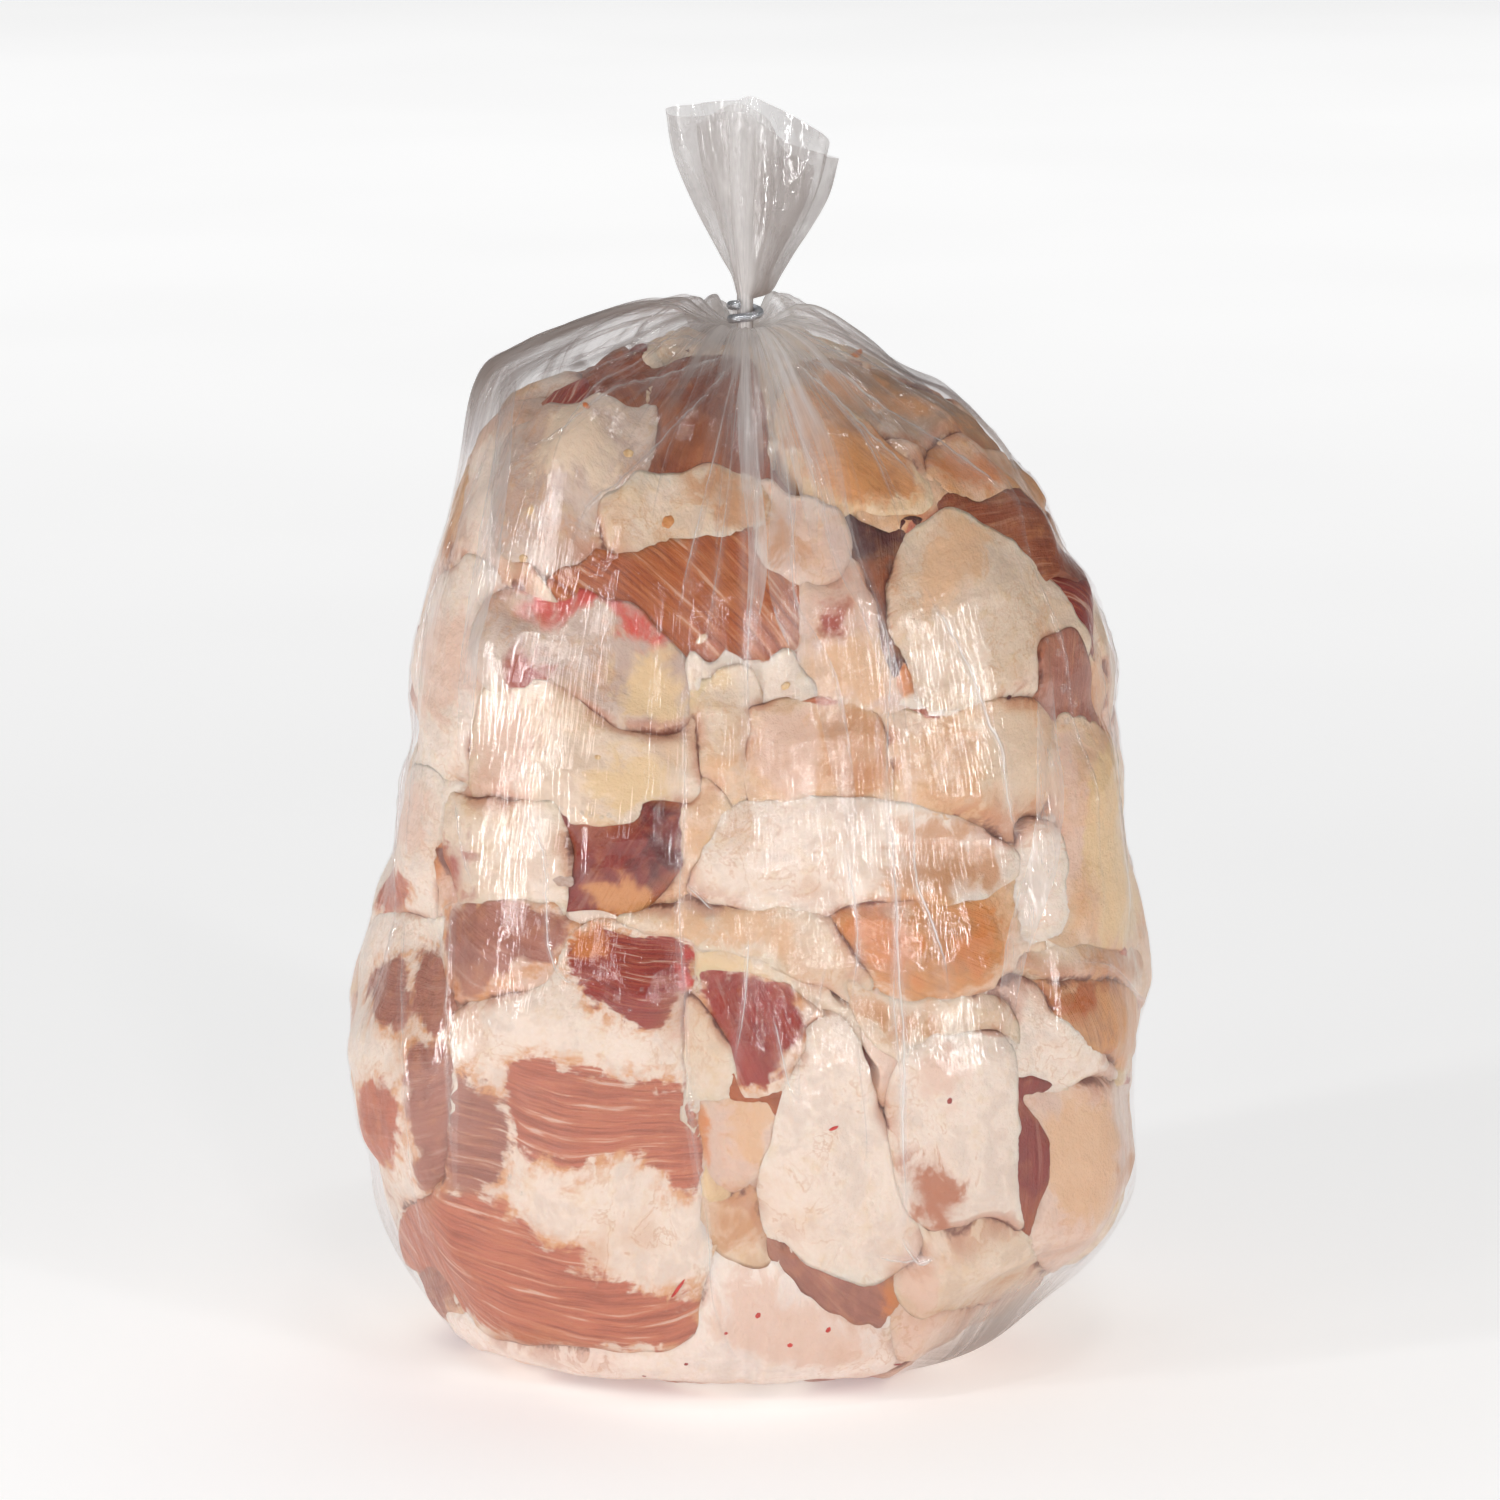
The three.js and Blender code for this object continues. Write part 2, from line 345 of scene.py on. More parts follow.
@cache
def contents_skin():
    """What the trimmings come out to: just inside the film, and well inside it in places."""
    skin = bag_skin()
    clearance = 0.9
    return Skin(skin.reaches - (clearance + spread_out(RETREATS, skin)) * MM)


class View:
    """The front view. It finds the points of a skin that show at given spots."""

    def __init__(self):
        self.forward = np.array([0, math.cos(VIEW_PITCH), -math.sin(VIEW_PITCH)])
        self.right = np.array([1.0, 0, 0])
        self.up = np.cross(self.right, self.forward)
        self.eye = AIM - self.forward * VIEW_DISTANCE

    def on_skin(self, spots, skin):
        """The points of a skin that show at spots. A spot beside the skin gets the nearest point."""
        nearest, furthest, steps = VIEW_DISTANCE - 0.14, VIEW_DISTANCE + 0.06, 400
        spots = np.asarray(spots, float) * MM
        targets = AIM + spots[:, :1] * self.right + (spots[:, 1:] - AIM_UP_IN_VIEW) * self.up
        rays = unit(targets - self.eye)
        along = np.linspace(nearest, furthest, steps)
        offsets = self.eye + rays[:, None] * along[None, :, None] - MIDDLE
        gap = np.linalg.norm(offsets, axis=-1) - skin.reach(unit(offsets))
        inside = gap < 0
        chosen = np.where(inside.any(axis=1), inside.argmax(axis=1), gap.argmin(axis=1))
        return skin.under(MIDDLE + offsets[np.arange(len(spots)), chosen])

    def spots_of(self, points):
        """Where points show in the view, in millimetres."""
        offsets = points - self.eye
        scale = VIEW_DISTANCE / (offsets @ self.forward) / MM
        across, up = offsets @ self.right * scale, offsets @ self.up * scale
        return np.column_stack([across, up + AIM_UP_IN_VIEW / MM])


VIEW = View()


class Chart:
    """A flat map of a skin round one point of it, in metres."""

    FAR_OFF = 9.0

    def __init__(self, centre):
        self.span = np.linalg.norm(centre - MIDDLE)
        self.out = (centre - MIDDLE) / self.span
        level = np.cross([0, 0, 1.0], self.out)
        self.across = unit(level) if np.linalg.norm(level) > 1e-3 else np.array([1.0, 0, 0])
        self.up = np.cross(self.out, self.across)

    def flat(self, points):
        """Where points lie on the map. Points round the far side come out far off it."""
        offsets = points - MIDDLE
        facing = offsets @ self.out
        scale = self.span / np.maximum(facing, 1e-3)
        spots = np.column_stack([offsets @ self.across * scale, offsets @ self.up * scale])
        return np.where(facing[:, None] > 0.3 * self.span, spots, self.FAR_OFF)

    def ways(self, spots):
        return unit(self.out * self.span + spots[:, :1] * self.across + spots[:, 1:] * self.up)


# Meshes and what they carry

def new_object(name, places, faces, material):
    mesh = bpy.data.meshes.new(name)
    mesh.from_pydata(np.asarray(places).tolist(), [], [list(face) for face in faces])
    mesh.polygons.foreach_set("use_smooth", [True] * len(mesh.polygons))
    mesh.materials.append(material)
    mesh.update()
    made = bpy.data.objects.new(name, mesh)
    bpy.context.scene.collection.objects.link(made)
    return made


def new_piece(name, places, faces, material, slot, replaced):
    piece = new_object(name, places, faces, material)
    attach(piece, "root")
    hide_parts(replaced)
    if slot == "film":
        let_light_through(piece)
    return piece


def let_light_through(piece):
    """Thin clear film keeps next to no light from what lies behind it, so it throws no shadow."""
    piece.visible_shadow = False
    piece.visible_diffuse = False


ATTRIBUTE_KINDS = {1: ("FLOAT", "value"), 3: ("FLOAT_VECTOR", "vector"), 4: ("FLOAT_COLOR", "color")}


def carry(piece, name, values):
    """Stores a number, a vector or a colour at each point of a piece, for its material to read."""
    values = np.asarray(values, np.float32).reshape(len(values), -1)
    kind, field = ATTRIBUTE_KINDS[values.shape[1]]
    layer = piece.data.attributes.new(name, kind, "POINT")
    layer.data.foreach_set(field, values.ravel())


def ring_faces(rows, columns):
    """The faces between rings of points."""
    here = np.arange(columns)
    ahead = (here + 1) % columns
    band = np.column_stack([here, ahead, ahead + columns, here + columns])
    return np.vstack([band + row * columns for row in range(rows - 1)])


class Batch:
    """Several meshes gathered into one piece, with what they carry."""

    def __init__(self):
        self.places, self.faces, self.carried, self.count = [], [], [], 0

    def add(self, places, faces, carried):
        self.places.append(places)
        self.faces += [[int(corner) + self.count for corner in face] for face in faces]
        self.carried.append(carried)
        self.count += len(places)

    def piece(self, name, material, slot, replaced):
        joined = new_piece(name, np.vstack(self.places), self.faces, material, slot, replaced)
        for key in self.carried[0]:
            carry(joined, key, np.concatenate([carried[key] for carried in self.carried]))
        return joined


# Settings that a user would change

def tone(name, description, *screen_colour):
    return bpy.props.FloatVectorProperty(
        name=name, description=description, default=srgb(*screen_colour),
        subtype="COLOR", size=4, min=0, max=1)


def length(name, description, millimetres):
    return bpy.props.FloatProperty(
        name=name, description=description, default=millimetres * MM,
        subtype="DISTANCE", unit="LENGTH", min=0)


def share_of_one(name, description, default):
    return bpy.props.FloatProperty(
        name=name, description=description, default=default, subtype="FACTOR", min=0, max=1)


def number(name, description, default):
    return bpy.props.FloatProperty(name=name, description=description, default=default, min=0)


def power(name, description, watts):
    return bpy.props.FloatProperty(
        name=name, description=description, default=watts, subtype="POWER", unit="POWER", min=0)


class TrimmingTones(bpy.types.PropertyGroup):
    cream: tone("Cream", "Most of the fat", 220, 194, 168)
    white: tone("White", "The palest fat", 234, 214, 198)
    chalk: tone("Chalk", "The clean white fat at the base", 244, 228, 218)
    blush: tone("Blush", "Fat with a pink cast", 222, 186, 166)
    peach: tone("Peach", "Fat that is turning tan", 220, 174, 134)
    butter: tone("Butter", "Yellow lobes and edges", 222, 188, 142)
    shade: tone("Shade", "Dull fat in the shade of the gathers", 150, 110, 76)
    tan: tone("Tan", "Brownish fat", 196, 138, 92)
    veil: tone("Veil", "Grey translucent skin on the fat", 186, 160, 146)
    amber: tone("Amber", "Orange stains beside the lean", 206, 120, 54)
    brown: tone("Brown", "Brown lean near the clip", 136, 60, 20)
    copper: tone("Copper", "Orange-brown fibrous lean", 172, 84, 28)
    ochre: tone("Ochre", "Lean turning to yellow fat", 208, 142, 82)
    umber: tone("Umber", "Dark strips in the creases", 80, 18, 8)
    rose: tone("Rose", "Pink-red lean", 156, 44, 28)
    brick: tone("Brick", "Pale red lean with long fibres", 192, 108, 80)
    mauve: tone("Mauve", "Greyish pink lean", 170, 108, 90)
    wine: tone("Wine", "Dark red lean", 138, 32, 14)
    burgundy: tone("Burgundy", "The darkest lean", 78, 8, 6)
    blood: tone("Blood", "Fresh red spots", 204, 36, 14)
    # The crease tone is partly painted shade in the gap where two pieces meet, and partly their reddish
    # juice.
    crease: tone("Crease", "The dark line where two pieces meet", 106, 46, 28)
    # The core tone is partly real dark lean and partly painted shade for the depths between the pieces.
    core: tone("Core", "What shows deep between the pieces", 156, 90, 66)


class TrimmingSizes(bpy.types.PropertyGroup):
    thickness: length("Thickness", "How deep the pieces reach into the bag", 15)
    edge_width: length("Edge width", "How far in from its edge a usual piece is rounded", 2.1)
    edge_depth: length("Edge depth", "How far a usual piece's edge lies under its face", 0.85)
    tuck: length("Tuck", "How far a piece goes on under its upper neighbour", 4.5)
    core_depth: length("Core depth", "How far the dark core lies under the surface", 8)


class FilmSettings(bpy.types.PropertyGroup):
    colour: tone("Film colour", "The milky colour of creased film", 236, 233, 231)
    # Painted shade: the grey that the film is turned to over the shoulders, at the foot and on the tail's
    # sides.
    film_shade_colour: tone("Dull film colour", "The grey of loose film round the neck", 158, 147, 141)
    haze: share_of_one("Haze", "How milky clear film is", 0.005)
    loose_haze: share_of_one("Loose haze", "How milky film is where nothing lies behind it", 0.52)
    neck_haze: share_of_one("Neck haze", "How milky the gathered film is beside the clip", 0.34)
    slack: length("Slack", "How far the film may draw in between the pieces", 1.8)
    pleat_height: length("Pleat height", "Height of the gathers on the shoulders", 1.9)
    fold_width: length("Fold width", "Width of a usual fold", 2.2)
    fold_height: length("Fold height", "Height of a usual fold", 0.8)


class ClipSettings(bpy.types.PropertyGroup):
    wire: length("Wire", "Thickness of the clip's wire", 2.3)
    turns: number("Turns", "Turns of wire round the neck", 1.2)
    colour: tone("Wire colour", "Bare aluminium", 226, 228, 233)


class StudioSettings(bpy.types.PropertyGroup):
    floor: tone("Floor", "The pale floor", 250, 250, 250)
    floor_glow: number("Floor glow", "Light that the floor itself gives, like a lit table", 0.34)
    sky: number("Sky", "Strength of the light all round", 0.2)
    backdrop_glow: number("Backdrop glow", "How bright the empty room looks behind the floor", 0.9)
    key: power("Key", "Power of the light on the left", 2.25)
    strips: number("Strips", "Power of the upright lights for each metre of their width", 50)
    top: power("Top", "Power of the small light overhead", 1.2)
    fill: power("Fill", "Power of the low wide light in front", 0.65)
    backdrop: power("Backdrop", "Power of the light on the floor behind", 55)


class BaggedFatSettings(bpy.types.PropertyGroup):
    tones: bpy.props.PointerProperty(type=TrimmingTones)
    sizes: bpy.props.PointerProperty(type=TrimmingSizes)
    film: bpy.props.PointerProperty(type=FilmSettings)
    clip: bpy.props.PointerProperty(type=ClipSettings)
    studio: bpy.props.PointerProperty(type=StudioSettings)


# Materials

class Recipe:
    """A material being put together from nodes."""

    def __init__(self, name):
        self.material = bpy.data.materials.new(name)
        self.material.use_nodes = True
        self.tree = self.material.node_tree
        self.tree.nodes.clear()
        self.output = self.tree.nodes.new("ShaderNodeOutputMaterial")

    def node(self, kind, inputs=None, **settings):
        node = self.tree.nodes.new("ShaderNode" + kind)
        for key, value in settings.items():
            setattr(node, key, value)
        for key, value in (inputs or {}).items():
            self.feed(node.inputs[key], value)
        return node

    def feed(self, socket, value):
        if isinstance(value, bpy.types.NodeSocket):
            self.tree.links.new(value, socket)
        else:
            socket.default_value = value

    def carried(self, name, output="Fac"):
        """What each point of the piece carries under a name."""
        return self.node("Attribute", attribute_name=name).outputs[output]

    def result(self, kind, inputs, **settings):
        """The first output of a new node."""
        return self.node(kind, inputs, **settings).outputs[0]

    def math(self, operation, first, second=0.0):
        return self.result("Math", {0: first, 1: second}, operation=operation)

    def plus(self, first, second):
        return self.math("ADD", first, second)

    def times(self, first, second):
        return self.math("MULTIPLY", first, second)

    def slope(self, value, low, high, start=0.0, end=1.0):
        """Goes smoothly from start to end as the value goes from low to high."""
        inputs = {"Value": value, "From Min": low, "From Max": high, "To Min": start, "To Max": end}
        return self.result("MapRange", inputs, interpolation_type="SMOOTHSTEP")

    def blend(self, share, first, second, how="MIX"):
        node = self.node("Mix", data_type="RGBA", blend_type=how, clamp_factor=True)
        colours = [socket for socket in node.inputs if socket.type == "RGBA"]
        self.feed(node.inputs[0], share)
        self.feed(colours[0], first)
        self.feed(colours[1], second)
        return next(socket for socket in node.outputs if socket.type == "RGBA")

    def cover(self, base, over, value, low, high, most=1.0):
        """A colour laid over another, more and more as the value goes from low to high."""
        return self.blend(self.slope(value, low, high, 0, most), base, over)

    def stretch(self, vector, scale):
        return self.result("Mapping", {"Vector": vector, "Scale": scale})

    def place(self):
        """Where a point is in the piece, in metres."""
        return self.node("TexCoord").outputs["Object"]

    def noise(self, vector, scale, detail=3.0, roughness=0.55, warp=0.0):
        return self.result("TexNoise", {"Vector": vector, "Scale": scale, "Detail": detail,
                                        "Roughness": roughness, "Distortion": warp})

    def bump(self, height, distance):
        return self.result("Bump", {"Height": height, "Distance": distance, "Strength": 1.0})

    def finish(self, kind, inputs):
        """The material, with its last shader joined to the output."""
        self.tree.links.new(self.result(kind, inputs), self.output.inputs["Surface"])
        return self.material


def trimming_material(tones):
    """Fat with patches of lean, stains and dark creases, read from what each piece carries."""
    recipe = Recipe("pork_trimmings")
    grain = recipe.carried("grain", "Vector")
    fat, lean, stain = (recipe.carried(name + "_tone", "Color") for name in ("fat", "lean", "stain"))
    lean_depth, stain_depth, crease, fibres = (
        recipe.carried(name) for name in ("lean_depth", "stain_depth", "crease", "fibres"))
    broad = recipe.noise(grain, 0.05, 4)
    patchy = recipe.noise(grain, 0.11, 5, 0.6, 0.5)
    middling = recipe.noise(grain, 0.24, 4, 0.6)
    fine = recipe.noise(grain, 0.9, 4, 0.6)

    pale = recipe.blend(0.5, fat, tones.white)
    warm = recipe.blend(0.4, fat, tones.butter)
    cool = recipe.blend(0.3, fat, tones.veil)
    fat = recipe.cover(fat, pale, broad, 0.42, 0.6)
    fat = recipe.cover(fat, tones.tan, broad, 0.46, 0.3, 0.4)
    fat = recipe.cover(fat, warm, middling, 0.5, 0.72, 0.8)
    fat = recipe.cover(fat, cool, patchy, 0.5, 0.36, 0.9)
    vein = recipe.slope(recipe.math("ABSOLUTE", recipe.math("SUBTRACT", patchy, 0.53)), 0.022, 0.002, 0, 0.4)
    vein = recipe.times(vein, recipe.slope(broad, 0.62, 0.44))
    fat = recipe.blend(vein, fat, tones.tan)
    fat = recipe.cover(fat, recipe.blend(0.25, fat, tones.tan), fine, 0.35, 0.7, 0.35)

    long_fibres = recipe.noise(recipe.stretch(grain, (0.035, 0.6, 1)), 1, 4, 0.6, 0.4)
    fine_fibres = recipe.noise(recipe.stretch(grain, (0.06, 1.3, 1)), 1, 3, 0.6, 0.3)
    dark_lean = recipe.blend(1.0, lean, (0.5, 0.36, 0.3, 1), "MULTIPLY")
    deep_lean = recipe.blend(0.5, lean, dark_lean)
    light_lean = recipe.blend(0.25, lean, tones.ochre)
    plain = recipe.cover(deep_lean, lean, patchy, 0.36, 0.58)
    plain = recipe.cover(plain, light_lean, middling, 0.5, 0.7, 0.8)
    plain = recipe.cover(plain, deep_lean, fine_fibres, 0.5, 0.3, 0.5)
    threaded = recipe.blend(0.3, dark_lean, deep_lean)
    threaded = recipe.cover(threaded, lean, fine_fibres, 0.3, 0.62)
    threaded = recipe.cover(threaded, light_lean, long_fibres, 0.46, 0.62)
    threaded = recipe.cover(threaded, dark_lean, long_fibres, 0.44, 0.34, 0.5)
    threaded = recipe.cover(threaded, pale, long_fibres, 0.57, 0.67, 0.65)
    flesh = recipe.blend(fibres, plain, threaded)

    feather = recipe.noise(recipe.stretch(grain, (0.09, 0.4, 1)), 1, 5, 0.65)
    feather = recipe.times(fibres, recipe.slope(feather, 0.2, 0.8, -3, 3))
    border = recipe.plus(lean_depth, recipe.slope(patchy, 0.3, 0.7, -2.2, 2.2))
    border = recipe.plus(border, feather)
    halo = recipe.slope(border, -6, -0.2, 0, 0.8)
    halo = recipe.times(halo, recipe.slope(middling, 0.42, 0.62, 0.15, 1))
    fat = recipe.blend(halo, fat, recipe.blend(0.35, tones.ochre, tones.amber))
    colour = recipe.cover(fat, flesh, border, -1.1, 1.3)

    spread = recipe.plus(stain_depth, recipe.slope(patchy, 0.3, 0.7, -4.5, 4.5))
    colour = recipe.cover(colour, stain, spread, -3.5, 3.5, 0.85)

    # Painted shade round the creases: the fat turns tan within about 9 mm of a crease and copper within about
    # 4.6 mm. At the line itself it goes to the crease tone, which is partly painted shade in the gap and
    # partly reddish juice.
    crease_rim_shade = recipe.slope(recipe.plus(crease, recipe.slope(broad, 0.35, 0.65, -5, 5)), 9, 0, 0, 0.5)
    colour = recipe.blend(crease_rim_shade, colour, recipe.blend(0.35, colour, tones.tan))
    line = recipe.plus(crease, recipe.slope(fine, 0.3, 0.7, -0.2, 0.3))
    presence = recipe.slope(patchy, 0.6, 0.46, 0.04, 1)
    soft = recipe.times(presence, recipe.slope(line, 4.6, 0.3, 0, 0.5))
    colour = recipe.blend(soft, colour, tones.copper)
    dark = recipe.times(presence, recipe.slope(line, 1.0, 0.1, 0, 0.85))
    colour = recipe.blend(dark, colour, tones.crease)

    relief = recipe.plus(recipe.times(middling, 1.5), recipe.times(fine, 0.16))
    fibre_relief = recipe.times(fine_fibres, recipe.slope(lean_depth, 0, 1, 0.1, 0.6))
    return recipe.finish("BsdfPrincipled", {
        "Base Color": colour, "Roughness": recipe.slope(fine, 0.3, 0.7, 0.42, 0.6),
        "Subsurface Weight": 0.2, "Subsurface Radius": (1.0, 0.42, 0.26), "Subsurface Scale": 3 * MM,
        "Coat Weight": 0.12, "Coat Roughness": 0.2,
        "Normal": recipe.bump(recipe.plus(relief, fibre_relief), 0.7 * MM)})


def core_material(tones):
    """The dark wet lean that shows deep between the pieces, its darkness partly painted shade."""
    recipe = Recipe("deep_lean")
    mottle = recipe.noise(recipe.place(), 90, 4)
    colour = recipe.cover(tones.core, tones.wine, mottle, 0.35, 0.65, 0.6)
    return recipe.finish("BsdfPrincipled", {
        "Base Color": colour, "Roughness": 0.42, "Coat Weight": 0.3, "Normal": recipe.bump(mottle, MM)})


def crumb_material():
    """Small soft crumbs, each with a colour of its own."""
    recipe = Recipe("fat_crumbs")
    colour = recipe.carried("tone", "Color")
    mottle = recipe.noise(recipe.place(), 700, 3)
    darker = recipe.blend(1.0, colour, (0.8, 0.7, 0.62, 1), "MULTIPLY")
    return recipe.finish("BsdfPrincipled", {
        "Base Color": recipe.cover(colour, darker, mottle, 0.35, 0.65), "Roughness": 0.4,
        "Subsurface Weight": 0.15, "Subsurface Radius": (1.0, 0.5, 0.3), "Subsurface Scale": MM,
        "Normal": recipe.bump(mottle, 0.3 * MM)})


@cache
def film_material():
    """Clear film: it shows what is behind it, shines, and is milky where it is loose or folded."""
    recipe = Recipe("clear_film")
    lie = recipe.carried("lie", "Vector")
    haze = recipe.carried("haze")
    streaks = recipe.noise(lie, 0.35, 4, 0.6)
    fine_streaks = recipe.noise(lie, 1.3, 3, 0.6)
    milk = recipe.times(haze, recipe.slope(streaks, 0.3, 0.7, 0.55, 1.35))
    milk = recipe.math("MINIMUM", milk, 0.92)
    cling = recipe.noise(recipe.place(), 90, 3, 0.5)
    relief = recipe.times(fine_streaks, 0.05)
    relief = recipe.plus(relief, recipe.times(cling, 1.3))
    normal = recipe.bump(recipe.plus(streaks, relief), 0.5 * MM)
    settings = bpy.context.scene.bagged_fat.film
    # Painted shade: the film's colour turns to the shade grey as far as the piece carries it.
    dull = recipe.carried("dull")
    colour = recipe.blend(dull, settings.colour, settings.film_shade_colour)
    diffuse = recipe.result("BsdfDiffuse", {"Color": colour})
    glowing = recipe.result("BsdfTranslucent", {"Color": colour})
    milky = recipe.result("MixShader", {0: 0.4, 1: diffuse, 2: glowing})
    clear = recipe.result("BsdfTransparent", {"Color": (0.985, 0.975, 0.975, 1)})
    body = recipe.result("MixShader", {0: milk, 1: clear, 2: milky})
    facing = recipe.node("LayerWeight", {"Blend": 0.5, "Normal": normal}).outputs["Facing"]
    shine = recipe.plus(recipe.times(recipe.math("POWER", facing, 5.0), 0.42), 0.05)
    gloss = recipe.result("BsdfAnisotropic", {"Color": (1, 1, 1, 1), "Roughness": 0.08, "Normal": normal})
    return recipe.finish("MixShader", {0: shine, 1: body, 2: gloss})


def wire_material(settings):
    """Bright drawn aluminium with fine marks along the wire."""
    recipe = Recipe("aluminium_wire")
    lie = recipe.carried("lie", "Vector")
    marks = recipe.noise(recipe.stretch(lie, (0.4, 6, 6)), 1, 4, 0.6)
    dull = recipe.cover(settings.colour, srgb(150, 152, 158), marks, 0.4, 0.75)
    return recipe.finish("BsdfPrincipled", {
        "Base Color": dull, "Metallic": 1.0, "Roughness": recipe.slope(marks, 0.3, 0.7, 0.16, 0.3),
        "Normal": recipe.bump(marks, 0.2 * MM)})


def floor_material(settings):
    """A pale matt floor with a very faint unevenness."""
    recipe = Recipe("studio_floor")
    faint = recipe.noise(recipe.place(), 2.0, 2)
    shaded = recipe.cover(settings.floor, srgb(246, 246, 246), faint, 0.3, 0.7)
    return recipe.finish("BsdfPrincipled", {
        "Base Color": shaded, "Roughness": 0.75,
        "Emission Color": settings.floor, "Emission Strength": settings.floor_glow})


# The trimmings that show in the front view, from the lowest layer to the uppermost. Every outline is in
# millimetres right of the aim and up. A patch is a tone and its outline, or the whole piece without one.

def cut(fat, outline, lean=(), stains=(), rounding=1.0, lumps=0.5, grain=0, line=0.6, fibres=0.2):
    """A trimming, with how round and lumpy it is, its grain in degrees, its crease line and its fibres."""
    return {"fat": fat, "outline": outline, "lean": lean, "stains": stains, "rounding": rounding,
            "lumps": lumps, "grain": grain, "line": line, "fibres": fibres}


